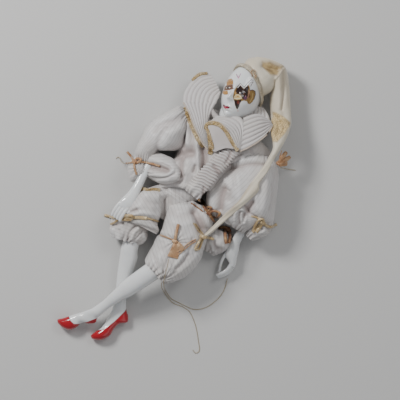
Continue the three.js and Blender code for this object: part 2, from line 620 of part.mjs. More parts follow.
function finishOf(name) {
  if (name.endsWith('_bow')) return 'ribbon';
  if (name.endsWith('_thread')) return 'thread';
  return FINISH_OF[name] ?? 'satin';
}

function meshOf(body) {
  const { vertProperties, triVerts } = body.getMesh();
  const geometry = new THREE.BufferGeometry();
  geometry.setAttribute('position', new THREE.BufferAttribute(vertProperties, 3));
  geometry.setIndex(new THREE.BufferAttribute(triVerts, 1));
  geometry.computeVertexNormals();
  return geometry;
}

const doll = new THREE.Group();
doll.name = 'jester_doll';
doll.position.set(-DOLL_CENTRE[0], -DOLL_CENTRE[1], 0);
Object.entries(made).forEach(([name, body]) => {
  const piece = new THREE.Mesh(meshOf(body), MATERIALS[finishOf(name)]);
  piece.name = name;
  doll.add(piece);
});

export default doll;
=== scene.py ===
import math

import bpy
import numpy as np
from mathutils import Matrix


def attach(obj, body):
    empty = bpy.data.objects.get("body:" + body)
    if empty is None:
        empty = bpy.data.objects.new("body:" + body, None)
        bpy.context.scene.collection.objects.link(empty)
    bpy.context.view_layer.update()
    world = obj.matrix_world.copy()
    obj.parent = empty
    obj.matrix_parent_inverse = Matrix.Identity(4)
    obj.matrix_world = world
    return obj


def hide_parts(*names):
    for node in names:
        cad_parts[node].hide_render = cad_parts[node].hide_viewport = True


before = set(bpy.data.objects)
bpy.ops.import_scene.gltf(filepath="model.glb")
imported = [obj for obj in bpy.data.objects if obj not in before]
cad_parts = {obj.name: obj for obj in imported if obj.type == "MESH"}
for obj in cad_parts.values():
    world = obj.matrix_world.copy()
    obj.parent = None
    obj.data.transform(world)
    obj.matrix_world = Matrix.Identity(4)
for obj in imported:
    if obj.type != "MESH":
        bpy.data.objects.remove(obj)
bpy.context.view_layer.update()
print("frame loaded")

# The doll is drawn in millimetres from the point between its hips, as its solids are
dollMiddle = np.array([27.5, 4.0, 0.0])


def placed(points):
    # millimetres on the doll -> metres in the frame
    return (np.asarray(points, float) - dollMiddle) * 0.001


# ---- camera, straight above, rolled as the photograph is
camera = {
    "aim": [33.9, 19.6, 40],     # the middle of the picture
    "away": 4.0,                 # metres above it
    "frame": 0.56,               # metres that the picture covers there
    "roll": 30,
}
lens = bpy.data.cameras.new("camera")
lens.sensor_width = 36
lens.lens = 36 * camera["away"] / camera["frame"]
lens.clip_end = 20
eye = bpy.data.objects.new("camera", lens)
eye.location = placed(camera["aim"]) + [0, 0, camera["away"]]
eye.rotation_euler = (0, 0, math.radians(camera["roll"]))
bpy.context.scene.collection.objects.link(eye)
bpy.context.scene.camera = eye


def seen(points):
    # a place in the photograph, in its 400 x 400 pixels -> millimetres on the doll; heights stay
    out = np.array(points, float)
    right, up = (out[..., 0] - 172) * 1.4, (200 - out[..., 1]) * 1.4
    roll = math.radians(camera["roll"])
    out[..., 0] = right * math.cos(roll) - up * math.sin(roll)
    out[..., 1] = right * math.sin(roll) + up * math.cos(roll)
    return out


def onPhoto(x, y):
    # the other way: millimetres on the doll -> the photograph's pixels
    roll = math.radians(camera["roll"])
    return (172 + (x * math.cos(roll) + y * math.sin(roll)) / 1.4,
            200 - (y * math.cos(roll) - x * math.sin(roll)) / 1.4)


# ---- shapes as grids of points
def between(table, share):
    # a smooth curve through the table's rows, Catmull-Rom, at shares of its length
    rows = np.array([list(row) + [0] * (8 - len(row)) if len(row) > 4 else row for row in table], float)
    place = np.asarray(share, float) * (len(rows) - 1)
    i = np.clip(np.floor(place).astype(int), 0, len(rows) - 2)
    t = (place - i)[..., None]
    p, q, r, s = (rows[np.clip(i + k, 0, len(rows) - 1)] for k in (-1, 0, 1, 2))
    return q + 0.5 * t * (r - p + t * (2 * p - 5 * q + 4 * r - s + t * (3 * (q - r) + s - p)))


def bent(value, power):
    return np.sign(value) * np.abs(value) ** (2 / power)


def loft(table, rings, sides, power=2.0, lowest=0.3):
    # upright sections between two edges: across = half width x cos, up = half height x sin,
    # both bent towards a box by the power, never below the lowest height
    share = np.linspace(0, 1, rings)
    angle = np.linspace(0, 2 * np.pi, sides, endpoint=False)
    x0, y0, x1, y1, low, high, pleat, lean = (v[:, None] for v in between(table, share).T)
    half = np.hypot(x1 - x0, y1 - y0) / 2
    acrossX, acrossY = (x1 - x0) / 2 / half, (y1 - y0) / 2 / half
    side = half * bent(np.cos(angle), power)
    up = (high - low) / 2 * bent(np.sin(angle), power)
    forward = lean * np.sin(angle)
    x = (x0 + x1) / 2 + acrossX * side - acrossY * forward
    y = (y0 + y1) / 2 + acrossY * side + acrossX * forward
    z = np.maximum((low + high) / 2 + up, lowest)
    return np.stack([x, y, z], axis=-1)


def rod(run, rings, sides):
    # a round body along a run of [x, y, z, radius]
    rows = between(run, np.linspace(0, 1, rings))
    return sweep(rows[:, :3], rows[:, 3], rows[:, 3], sides)


def sweep(path, wide, thick, sides, power=2.0, roll=0.0):
    # an oval carried along a path, wide across it and thick upwards, rolled about it by an angle
    path = np.asarray(path, float)
    along = np.gradient(path, axis=0)
    along /= np.linalg.norm(along, axis=1, keepdims=True)
    across = np.cross([0, 0, 1.0], along)
    short = np.linalg.norm(across, axis=1) < 0.08
    across[short] = [1, 0, 0]
    across /= np.linalg.norm(across, axis=1, keepdims=True)
    upright = np.cross(along, across)
    angle = np.linspace(0, 2 * np.pi, sides, endpoint=False)[None, :, None]
    turn = np.broadcast_to(np.asarray(roll, float), len(path))[:, None, None]
    a = across[:, None] * np.cos(turn) + upright[:, None] * np.sin(turn)
    b = upright[:, None] * np.cos(turn) - across[:, None] * np.sin(turn)
    wide = np.broadcast_to(np.asarray(wide, float), len(path))[:, None, None]
    thick = np.broadcast_to(np.asarray(thick, float), len(path))[:, None, None]
    return path[:, None] + a * wide * bent(np.cos(angle), power) + b * thick * bent(np.sin(angle), power)


def curve(points, count):
    # a smooth curve through points of any dimension
    points = np.asarray(points, float)
    place = np.linspace(0, len(points) - 1, count)
    i = np.clip(np.floor(place).astype(int), 0, len(points) - 2)
    t = (place - i)[:, None]
    p, q, r, s = (points[np.clip(i + k, 0, len(points) - 1)] for k in (-1, 0, 1, 2))
    return q + 0.5 * t * (r - p + t * (2 * p - 5 * q + 4 * r - s + t * (3 * (q - r) + s - p)))


def smoothPath(points, count):
    # evenly spaced points along a smooth curve through the given ones
    fine = between([list(p) for p in points], np.linspace(0, 1, 40 * len(points)))[:, :3]
    gone = np.concatenate([[0], np.cumsum(np.linalg.norm(np.diff(fine, axis=0), axis=1))])
    want = np.linspace(0, gone[-1], count)
    return np.stack([np.interp(want, gone, fine[:, k]) for k in range(3)], axis=-1)


def facing(grid, wrap=True):
    # unit normals of a grid, from the cross product of its two directions
    along = np.gradient(grid, axis=0)
    if wrap:
        across = np.roll(grid, -1, axis=1) - np.roll(grid, 1, axis=1)
    else:
        across = np.gradient(grid, axis=1)
    normal = np.cross(across, along)
    length = np.linalg.norm(normal, axis=-1, keepdims=True)
    normal = normal / np.maximum(length, 1e-9)
    if wrap:
        outward = grid - grid.mean(axis=1, keepdims=True)
        if np.sum(normal * outward) < 0:
            normal = -normal
    return normal


def waves(points, seed, size, count=7, sharp=1.6):
    # soft folds: the mean of ridged sines in scattered directions, each bent by a slower sine
    chance = np.random.default_rng(seed)
    total = np.zeros(points.shape[:-1])
    for _ in range(count):
        way = chance.normal(size=3)
        way /= np.linalg.norm(way)
        other = np.cross(way, chance.normal(size=3))
        other /= np.linalg.norm(other)
        wave = size * chance.uniform(0.7, 1.5)
        shift = chance.uniform(0, 2 * np.pi, 3)
        bend = 1.1 * np.sin(points @ other / (1.7 * wave) + shift[0])
        ridge = 1 - np.abs(np.sin(points @ way * np.pi / wave + bend + shift[1]))
        here = 0.5 + 0.5 * np.sin(points @ (way + other) / (1.3 * wave) + shift[2])
        total += ridge ** sharp * here
    return total / count - 0.18


def tuck(grid, first=None, last=None):
    # a cloth tube's ends turned in: rings that shrink and run back inside it
    rings = list(grid)
    for spot, depth in ((0, first), (-1, last)):
        if depth is None:
            continue
        ring, inner = grid[spot], grid[1 if spot == 0 else -2]
        middle = ring.mean(axis=0)
        away = middle - inner.mean(axis=0)
        away /= max(np.linalg.norm(away), 1e-9)
        extra = [middle + (ring - middle) * shrink - away * depth * back
                 for shrink, back in ((0.985, -0.06), (0.95, 0.02), (0.9, 0.3), (0.82, 0.7), (0.7, 1.0))]
        rings = extra[::-1] + rings if spot == 0 else rings + extra
    return np.array(rings)


class Mesh:
    # collects grids of points, with their faces, stripe coordinates and colours, into one object
    def __init__(self):
        self.points, self.faces, self.uvs, self.marks, self.count = [], [], [], {}, 0

    def grid(self, grid, wrap=True, caps=(True, True), uv=None, marks=None, flip=False):
        rings, sides = grid.shape[:2]
        i, j = np.meshgrid(np.arange(rings - 1), np.arange(sides if wrap else sides - 1), indexing="ij")
        i, j = i.ravel(), j.ravel()
        k = (j + 1) % sides
        quads = np.stack([i * sides + j, i * sides + k, (i + 1) * sides + k, (i + 1) * sides + j], axis=1)
        if uv is None:
            uv = (np.linspace(0, 1, sides + 1 if wrap else sides), np.linspace(0, 1, rings))
        u, v = uv
        if u.ndim == 1:
            u, v = np.broadcast_arrays(u[None, :], v[:, None])
        quadUv = np.stack([np.stack([u[a, b], v[a, b]], 1) for a, b in ((i, j), (i, j + 1), (i + 1, j + 1), (i + 1, j))], axis=1)
        points = [grid.reshape(-1, 3)]
        extra = [{key: np.asarray(value).reshape(rings * sides, -1) for key, value in (marks or {}).items()}]
        triangles, triangleUv = [], []
        if wrap:
            for cap, ring in ((0, 0), (1, rings - 1)):
                if not caps[cap]:
                    continue
                middle = rings * sides + sum(len(p) for p in points[1:])
                points.append(grid[ring].mean(axis=0, keepdims=True))
                extra.append({key: value[ring * sides:(ring + 1) * sides].mean(axis=0, keepdims=True)
                              for key, value in extra[0].items()})
                a = ring * sides + np.arange(sides)
                b = ring * sides + (np.arange(sides) + 1) % sides
                m = np.full(sides, middle)
                triangles.append(np.stack([b, a, m], 1) if cap == 0 else np.stack([a, b, m], 1))
                n = np.arange(sides)
                rim = [np.stack([u[ring, n + 1], v[ring, n + 1]], 1), np.stack([u[ring, n], v[ring, n]], 1)]
                mid = (rim[0] + rim[1]) / 2
                triangleUv.append(np.stack([rim[0], rim[1], mid] if cap == 0 else [rim[1], rim[0], mid], axis=1))
        inside = self.inward(grid) if wrap else False
        for faces, uvs in [(quads, quadUv)] + list(zip(triangles, triangleUv)):
            if inside != flip:
                faces, uvs = faces[:, ::-1], uvs[:, ::-1]
            self.faces.append(faces + self.count)
            self.uvs.append(uvs.reshape(-1, 2))
        for part, values in zip(points, extra):
            self.points.append(part)
            for key, value in values.items():
                self.marks.setdefault(key, []).append(value)
            self.count += len(part)
        return self

    @staticmethod
    def inward(grid):
        across = np.roll(grid, -1, axis=1) - grid
        along = np.gradient(grid, axis=0)
        outward = grid - grid.mean(axis=1, keepdims=True)
        return np.sum(np.cross(across, along) * outward) < 0

    def make(self, name, finish, smooth=True):
        points = placed(np.concatenate(self.points))
        mesh = bpy.data.meshes.new(name)
        counts = np.concatenate([np.full(len(f), f.shape[1]) for f in self.faces])
        corners = np.concatenate([f.ravel() for f in self.faces])
        mesh.vertices.add(len(points))
        mesh.vertices.foreach_set("co", points.ravel())
        mesh.loops.add(len(corners))
        mesh.loops.foreach_set("vertex_index", corners.astype(np.int32))
        mesh.polygons.add(len(counts))
        mesh.polygons.foreach_set("loop_start", np.concatenate([[0], np.cumsum(counts)[:-1]]).astype(np.int32))
        mesh.polygons.foreach_set("loop_total", counts.astype(np.int32))
        mesh.polygons.foreach_set("use_smooth", np.full(len(counts), smooth))
        mesh.update(calc_edges=True)
        mesh.uv_layers.new(name="cloth").data.foreach_set("uv", np.concatenate(self.uvs).ravel())
        for key, values in self.marks.items():
            values = np.concatenate(values)
            if values.shape[1] == 1:
                mesh.attributes.new(key, "FLOAT", "POINT").data.foreach_set("value", values.ravel())
            else:
                four = np.concatenate([values, np.ones((len(values), 1))], axis=1)
                mesh.attributes.new(key, "FLOAT_COLOR", "POINT").data.foreach_set("color", four.ravel())
        mesh.validate()
        mesh.materials.append(finish)
        piece = bpy.data.objects.new(name, mesh)
        bpy.context.scene.collection.objects.link(piece)
        return piece


def ridesFor(piece, slot, *nodes):
    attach(piece, "root")
    if nodes:
        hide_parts(*nodes)
    return piece


# ---- finishes
class Amount:
    # a socket that takes part in sums
    def __init__(self, paint, socket):
        self.paint, self.socket = paint, socket

    def sum(self, operation, *values):
        return self.paint.node("ShaderNodeMath", {"operation": operation}, dict(enumerate(values)))

    def __add__(self, other): return self.sum("ADD", self, other)
    def __radd__(self, other): return self.sum("ADD", other, self)
    def __sub__(self, other): return self.sum("SUBTRACT", self, other)
    def __rsub__(self, other): return self.sum("SUBTRACT", other, self)
    def __mul__(self, other): return self.sum("MULTIPLY", self, other)
    def __rmul__(self, other): return self.sum("MULTIPLY", other, self)
    def __truediv__(self, other): return self.sum("DIVIDE", self, other)
    def __pow__(self, other): return self.sum("POWER", self, other)
    def __abs__(self): return self.sum("ABSOLUTE", self)

    def sine(self): return self.sum("SINE", self)
    def part(self): return self.sum("FRACT", self)
    def most(self, other): return self.sum("MAXIMUM", self, other)

    def over(self, low, high):
        # 0 below low, 1 above high, straight between
        return self.paint.node("ShaderNodeMapRange", {"clamp": True},
                               {"Value": self, "From Min": low, "From Max": high})


class Paint:
    # one finish: its shader with plain values, and the nodes that vary it
    def __init__(self, name, **plain):
        self.finish = bpy.data.materials.new(name)
        self.finish.use_nodes = True
        self.tree = self.finish.node_tree
        self.shader = self.tree.nodes["Principled BSDF"]
        for socket, value in plain.items():
            self.shader.inputs[socket.replace("_", " ")].default_value = value

    def node(self, kind, settings=None, inputs=None, output=0):
        made = self.tree.nodes.new(kind)
        for key, value in (settings or {}).items():
            if key == "stops":
                ramp = made.color_ramp.elements
                while len(ramp) < len(value):
                    ramp.new(0.5)
                for stop, (place, colour) in zip(ramp, value):
                    stop.position, stop.color = place, (*colour, 1)
            else:
                setattr(made, key, value)
        for key, value in (inputs or {}).items():
            self.feed(made.inputs[key], value)
        return Amount(self, made.outputs[output])

    def feed(self, socket, value):
        if isinstance(value, Amount):
            self.tree.links.new(value.socket, socket)
        elif socket.type == "RGBA" and len(value) == 3:
            socket.default_value = (*value, 1)
        else:
            socket.default_value = value

    def mix(self, factor, first, second):
        # data_type is set before the sockets: 6 and 7 are the two colours, output 2 is the result
        return self.node("ShaderNodeMix", {"data_type": "RGBA"}, {0: factor, 6: first, 7: second}, output=2)

    def place(self, stretch=(1, 1, 1), turn=(0, 0, 0)):
        # object coordinates in millimetres
        where = self.node("ShaderNodeTexCoord", output=3)
        return self.node("ShaderNodeMapping", {}, {
            "Vector": where, "Scale": [1000 * s for s in stretch], "Rotation": turn})

    def cloth(self):
        # the piece's own stripe coordinates: across the stripes, and along them in millimetres
        where = self.node("ShaderNodeUVMap", {"uv_map": "cloth"})
        split = self.node("ShaderNodeSeparateXYZ", {}, {0: where})
        return split, Amount(self, split.socket.node.outputs[1])

    def threads(self, u, v):
        return self.node("ShaderNodeCombineXYZ", {}, {0: u, 1: v})

    def noise(self, where, scale, detail=2.0, rough=0.5, output=0):
        return self.node("ShaderNodeTexNoise", {}, {
            "Vector": where, "Scale": scale, "Detail": detail, "Roughness": rough}, output)

    def mark(self, name, output=2):
        # a value or a colour kept at the mesh's points: 2 is the value, 0 the colour
        return self.node("ShaderNodeAttribute", {"attribute_name": name}, {}, output)

    def bump(self, height, distance, strength=1.0):
        self.feed(self.shader.inputs["Normal"], self.node("ShaderNodeBump", {}, {
            "Height": height, "Distance": distance, "Strength": strength}))

    def set(self, **varied):
        for socket, value in varied.items():
            self.feed(self.shader.inputs[socket.replace("_", " ")], value)
        return self.finish


# tones of the white satin; the mauve-brown one is painted shade for the creases and covered parts
satinTones = {
    "light": (0.66, 0.645, 0.635), "stripe": (0.40, 0.375, 0.365), "hollow": (0.42, 0.355, 0.335),
    "aged": (0.60, 0.56, 0.51),
}


def satin(name, stripes=True, light=satinTones["light"], line=0.16, strength=0.55, roughness=0.42):
    # white satin: thin grey lines along the cloth, a twill of fine threads, and mauve painted shade in the creases,
    # grooves and covered parts that the mesh marks
    paint = Paint(name, Sheen_Weight=0.35, Sheen_Roughness=0.4, Specular_IOR_Level=0.45, Anisotropic=0.3)
    u, v = paint.cloth()
    where = paint.place()
    worn = paint.noise(where, 0.03, 3.0)
    slub = paint.noise(paint.threads(u * 6.0, v * 0.12), 1.0, 2.0)
    weave = ((v * 7.0 + u * 11.0).sine() + (u * 30.0).sine()) * 0.25
    colour = paint.mix(worn.over(0.35, 0.75) * 0.7, light, satinTones["aged"])
    if stripes:
        off = abs(u.part() - 0.5)
        stripe = (0.5 - off).over(line, line * 0.35) * (slub * 0.6 + 0.55)
        colour = paint.mix(stripe * strength, colour, satinTones["stripe"])
        height = weave * 0.4 - stripe * 0.9 + slub * 0.5
    else:
        height = weave * 0.4 + slub * 0.5
    # painted shade: the cloth darkened to mauve where the mesh marks its creases and covered parts
    colour = paint.mix(paint.mark("hollow"), colour, satinTones["hollow"])
    paint.bump(height, 0.0002, 0.6)
    return paint.set(Base_Color=colour, Roughness=slub * 0.18 + (roughness - 0.08))


def porcelain(name, colour=(0.78, 0.79, 0.785)):
    # glazed porcelain: its paint is kept at the points, under a clear coat, and gilding is metal
    paint = Paint(name, Coat_Weight=0.6, Coat_Roughness=0.04, Specular_IOR_Level=0.5,
                  Subsurface_Weight=0.06, Subsurface_Radius=(0.004, 0.003, 0.002), Subsurface_Scale=0.5)
    where = paint.place()
    cloud = paint.noise(where, 0.05, 3.0)
    speck = paint.noise(where, 1.4, 2.0)
    base = paint.mix(cloud.over(0.3, 0.8), colour, tuple(0.93 * c for c in colour))
    painted = paint.mix(paint.mark("painted"), base, paint.mark("paint", 0))
    gilt = paint.mark("gilt")
    brush = paint.noise(paint.place((1, 3, 1), (0, 0, 0.6)), 0.9, 3.0)
    paint.bump(cloud * 0.6 + speck * 0.08 + paint.mark("painted") * 0.25 + brush * gilt * 0.5, 0.0003, 0.5)
    return paint.set(Base_Color=paint.mix(gilt * brush.over(0.35, 0.7) * 0.5, painted, (0.62, 0.44, 0.16)),
                     Roughness=0.16 + gilt * 0.16 + speck * 0.04, Metallic=gilt * 0.75)


def capSatin(name):
    # heavier cream satin, brown where the lining shows and in the fold's pocket, where the brown is partly painted
    # shade; darker beige where painted shade is marked
    paint = Paint(name, Sheen_Weight=0.3, Sheen_Roughness=0.4, Anisotropic=0.3)
    u, v = paint.cloth()
    where = paint.place()
    slub = paint.noise(paint.threads(u * 9.0, v * 0.1), 1.0, 2.0)
    worn = paint.noise(where, 0.04, 3.0)
    cream = paint.mix(worn.over(0.35, 0.7), (0.72, 0.66, 0.53), (0.62, 0.54, 0.41))
    cream = paint.mix(paint.mark("shade"), cream, (0.44, 0.355, 0.25))
    lining = paint.mix(paint.noise(where, 0.12, 3.0).over(0.35, 0.65), (0.17, 0.10, 0.04), (0.44, 0.32, 0.15))
    colour = paint.mix(paint.mark("lining"), cream, lining)
    knots = paint.node("ShaderNodeTexVoronoi", {"feature": "DISTANCE_TO_EDGE"}, {"Vector": where, "Scale": 0.55}).over(0.25, 0.05)
    knots = knots * paint.mark("beads")
    colour = paint.mix(knots, colour, (0.74, 0.56, 0.28))
    paint.bump(slub * 0.4 + ((v * 6.0 + u * 9.0).sine()) * 0.15 + knots * 2.0, 0.0002, 0.6)
    return paint.set(Base_Color=colour, Roughness=slub * 0.2 + 0.34)


def lace(name, deep=(0.17, 0.105, 0.06), ground=(0.40, 0.29, 0.18), dull=(0.66, 0.46, 0.19), bright=(0.82, 0.70, 0.44)):
    # metal thread lace: gold cords standing out of a brown ground
    paint = Paint(name, Specular_IOR_Level=0.5)
    where = paint.place()
    cell = paint.node("ShaderNodeTexVoronoi", {"feature": "DISTANCE_TO_EDGE"}, {"Vector": where, "Scale": 0.62})
    grain = paint.noise(where, 0.9, 3.0)
    tone = paint.noise(where, 0.14, 2.0)
    cordage = cell.over(0.22, 0.04) * 0.8 + grain.over(0.5, 0.75) * 0.5
    ground = paint.mix(tone.over(0.35, 0.65), deep, ground)
    gold = paint.mix(tone.over(0.4, 0.7), dull, bright)
    paint.bump(cordage, 0.0006, 0.9)
    return paint.set(Base_Color=paint.mix(cordage.over(0.1, 0.8), ground, gold),
                     Roughness=0.55 - cordage * 0.2, Metallic=cordage.over(0.2, 0.9) * 0.55)


def ribbon(name, first, second, metal=0.45):
    # tubular metallic ribbon: a braid of two tones
    paint = Paint(name, Sheen_Weight=0.2, Specular_IOR_Level=0.55)
    u, v = paint.cloth()
    braid = ((u * 6.2832 * 10 + v * 5.0).sine() * (u * 6.2832 * 10 - v * 5.0).sine()) * 0.5 + 0.5
    tone = paint.noise(paint.place(), 0.16, 3.0)
    colour = paint.mix(tone.over(0.35, 0.7), first, second)
    paint.bump(braid, 0.0002, 0.7)
    return paint.set(Base_Color=paint.mix(braid * 0.35, colour, tuple(0.45 * c for c in first)),
                     Roughness=braid * 0.15 + 0.3, Metallic=tone.over(0.2, 0.8) * metal)


def threadFinish(name):
    # two plies of metal thread wound together
    paint = Paint(name, Specular_IOR_Level=0.5)
    u, v = paint.cloth()
    ply = (u * 6.2832 * 2 + v * 3.2).sine() * 0.5 + 0.5
    paint.bump(ply, 0.0002, 0.8)
    return paint.set(Base_Color=paint.mix(ply, (0.25, 0.19, 0.11), (0.62, 0.52, 0.34)),
                     Roughness=0.5 - ply * 0.15, Metallic=ply * 0.5)


finishes = {
    "porcelain": porcelain("porcelain"), "satin": satin("stripedSatin"),
    "ribbed": satin("ribbedSatin", stripes=False, light=(0.60, 0.575, 0.565)),
    "plain": satin("plainSatin", stripes=False, light=(0.62, 0.585, 0.57)),
    "tunic": satin("tunicSatin", strength=0.3, light=(0.63, 0.60, 0.59)),
    "cap": capSatin("creamSatin"), "lace": lace("goldLace"), "thread": threadFinish("metalThread"),
    "capLace": lace("capLace", (0.33, 0.27, 0.20), (0.52, 0.45, 0.34), (0.66, 0.56, 0.40), (0.78, 0.72, 0.60)),
    "copper": ribbon("copperRibbon", (0.42, 0.20, 0.085), (0.66, 0.45, 0.26)),
    "gold": ribbon("goldRibbon", (0.50, 0.33, 0.14), (0.76, 0.62, 0.38)),
    "rust": ribbon("rustRibbon", (0.25, 0.085, 0.045), (0.48, 0.30, 0.13)),
    "piping": ribbon("beigePiping", (0.60, 0.48, 0.38), (0.68, 0.58, 0.47), 0.15),
}
print("finishes made")

# ---- threads
threads = {
    "diameter": 1.0, "lying": 0.55,
    "kneeStart": [[37.5, -73, 69], [39, -78, 68.5], [41, -84, 67.5], [43, -91, 66], [45, -98, 63.5],
                  [47, -104.5, 59.5]],
}
lying = threads["lying"]
threads["routes"] = {
    "handThread": ("hand_thread", "object", threads["kneeStart"] + [
        [49.5, -108.5, 50], [51, -111, 36], [53, -113.5, 20], [56, -116, 8], [61, -118.5, 2.6],
        [68, -121.5, 0.9], [76, -121.5, lying], [84, -121, lying], [92, -120.5, lying],
        [101, -119.5, lying], [110, -115, lying], [118, -106.5, lying], [124, -94, lying],
        [127, -80, lying], [126, -68, 1.1], [122.8, -57, 4.1]]),
    "looseThread": ("loose_thread", "bare", [
        [45, -107.5, 52], [46.5, -110.5, 38], [48.5, -113.5, 22], [52, -116.5, 9], [57, -119.5, 2.8],
        [65, -123.5, 0.9], [75, -125.5, lying], [84, -124, lying], [92, -123.5, lying],
        [101, -125, lying], [110, -131, lying], [118, -138, lying], [126, -147, lying],
        [133, -156, lying], [138, -162, lying], [139.5, -167, lying], [136.5, -171, lying],
        [131, -169, lying]]),
    "cuffThread": ("cuff_thread", "bare", [
        [-82.5, 11.5, 34], [-87, 10.5, 22], [-91, 12, 9], [-94.5, 14.5, 2.4], [-97, 14, 0.8],
        [-98, 11, lying]]),
    "shoulderThread": ("shoulder_thread", "bare", [
        [109, 115.5, 30], [113, 117, 15], [117, 118.5, 5], [121, 120, 1.6], [125, 121.5, 0.7],
        [130, 123.5, lying]]),
}


def makeThread(name, node, route):
    path = smoothPath(route, 26 * len(route))
    length = np.sum(np.linalg.norm(np.diff(path, axis=0), axis=1))
    radius = threads["diameter"] / 2
    grid = sweep(path, radius, radius, 8)
    gone = np.linspace(0, length, len(path))
    piece = Mesh().grid(grid, uv=(np.linspace(0, 1, 9), gone)).make(name, finishes["thread"])
    ridesFor(piece, "gold_thread", node)
    route = placed(path)


for name, (node, farEnd, route) in threads["routes"].items():
    makeThread(name, node, route)
print("threads laid")

# ---- head
head = {
    "centre": [11, 178, 35], "halfWidth": 26.5, "halfHeight": 40, "halfDepth": 31, "turn": -25, "tilt": 7,
    "columns": 300, "rows": 250, "faceCrowding": 0.5,
    "crownFullness": 0.62, "faceFullness": 0.3, "jawFullness": 0.72, "jawTaper": 0.2,
    # each form on the face is [x, y, height, half-width, half-height] in its own front view
    "forms": [
        [0, 3, 3.0, 3.2, 9], [0, -10, 5.6, 3.4, 5.5], [0, -13, 2.2, 3.0, 2.6], [3.6, -13.5, 1.7, 1.9, 2.2],
        [-3.6, -13.5, 1.7, 1.9, 2.2], [11, 2, -3.2, 7, 4.6], [-11, 2, -3.2, 7, 4.6], [11, 1.2, 2.3, 4.6, 2.9],
        [-11, 1.2, 2.3, 4.6, 2.9], [11, 10, 1.1, 8, 3], [-11, 10, 1.1, 8, 3], [15, -13, 1.6, 8, 8],
        [-15, -13, 1.6, 8, 8], [0, -19.5, -0.5, 1.2, 2.2], [2, -24.4, 1.5, 2.6, 1.3], [-2, -24.4, 1.5, 2.6, 1.3],
        [0, -28.6, 1.8, 3.2, 1.6], [0, -26.4, -0.9, 5.4, 0.7], [0, -31.5, -1.0, 4.5, 1.8], [0, -36, 2.0, 5.5, 4],
    ],
}


def headGrid(columns, rows, swell=0.0, forms=()):
    # an egg: width and depth follow sin(down) to a power, with the forms raised on its front
    down = np.pi * (np.arange(rows) + 0.35) / (rows - 0.3)
    low = np.maximum(0, -np.cos(down))[:, None]
    round_ = 2 * np.pi * np.arange(columns) / columns
    turn = round_ - head["faceCrowding"] * np.sin(round_)
    front = np.maximum(0, np.cos(turn))
    sine = np.sin(down)[:, None]
    width = head["halfWidth"] * (1 - head["jawTaper"] * low ** 3) * sine ** np.where(low > 0, head["jawFullness"], head["crownFullness"])
    fullness = np.where(low > 0, 1 - (1 - head["faceFullness"]) * front, head["crownFullness"])
    depth = head["halfDepth"] * (1 - 0.08 * low ** 2 - (1 - front) * 0.25 * low) * sine ** fullness
    x = width * np.sin(turn)
    y = np.broadcast_to(head["halfHeight"] * np.cos(down)[:, None], x.shape)
    raised = np.zeros_like(x)
    for cx, cy, height, wide, tall in forms:
        raised += height * np.exp(-((x - cx) / wide) ** 2 - ((y - cy) / tall) ** 2)
    z = depth * np.cos(turn) + raised * np.minimum(1, 2.5 * front)
    points = np.stack([x, y, z], axis=-1)
    points = points * (1 + swell / np.linalg.norm(points, axis=-1, keepdims=True))
    a, b = math.radians(head["turn"]), math.radians(head["tilt"])
    x, y, z = points[..., 0], points[..., 1], points[..., 2]
    x, z = x * math.cos(a) + z * math.sin(a), z * math.cos(a) - x * math.sin(a)
    x, y = x * math.cos(b) - y * math.sin(b), x * math.sin(b) + y * math.cos(b)
    return np.stack([x, y, z], axis=-1) + head["centre"]


def distanceTo(x, y, points, closed=True):
    # distance from each point to a broken line
    points = np.asarray(points, float)
    best = np.full(x.shape, 1e9)
    ends = np.roll(points, -1, axis=0) if closed else points[1:]
    for (ax, ay), (bx, by) in zip(points if closed else points[:-1], ends):
        dx, dy = bx - ax, by - ay
        share = np.clip(((x - ax) * dx + (y - ay) * dy) / (dx * dx + dy * dy + 1e-12), 0, 1)
        best = np.minimum(best, np.hypot(x - ax - share * dx, y - ay - share * dy))
    return best


def within(x, y, points, soft=0.3):
    # 1 inside a closed outline and 0 outside it, over a soft edge
    points = np.asarray(points, float)
    inside = np.zeros(x.shape, bool)
    for (ax, ay), (bx, by) in zip(points, np.roll(points, -1, axis=0)):
        crosses = (ay > y) != (by > y)
        with np.errstate(divide="ignore", invalid="ignore"):
            inside ^= crosses & (x < (bx - ax) * (y - ay) / (by - ay) + ax)
    signed = distanceTo(x, y, points) * np.where(inside, 1, -1)
    return np.clip(0.5 + signed / (2 * soft), 0, 1)


def spot(x, y, cx, cy, wide, tall, soft=0.25):
    return np.clip((1 - np.hypot((x - cx) / wide, (y - cy) / tall)) / soft, 0, 1)


def line(x, y, points, width, soft=0.25, closed=False):
    return np.clip((width / 2 - distanceTo(x, y, points, closed)) / soft + 0.5, 0, 1)


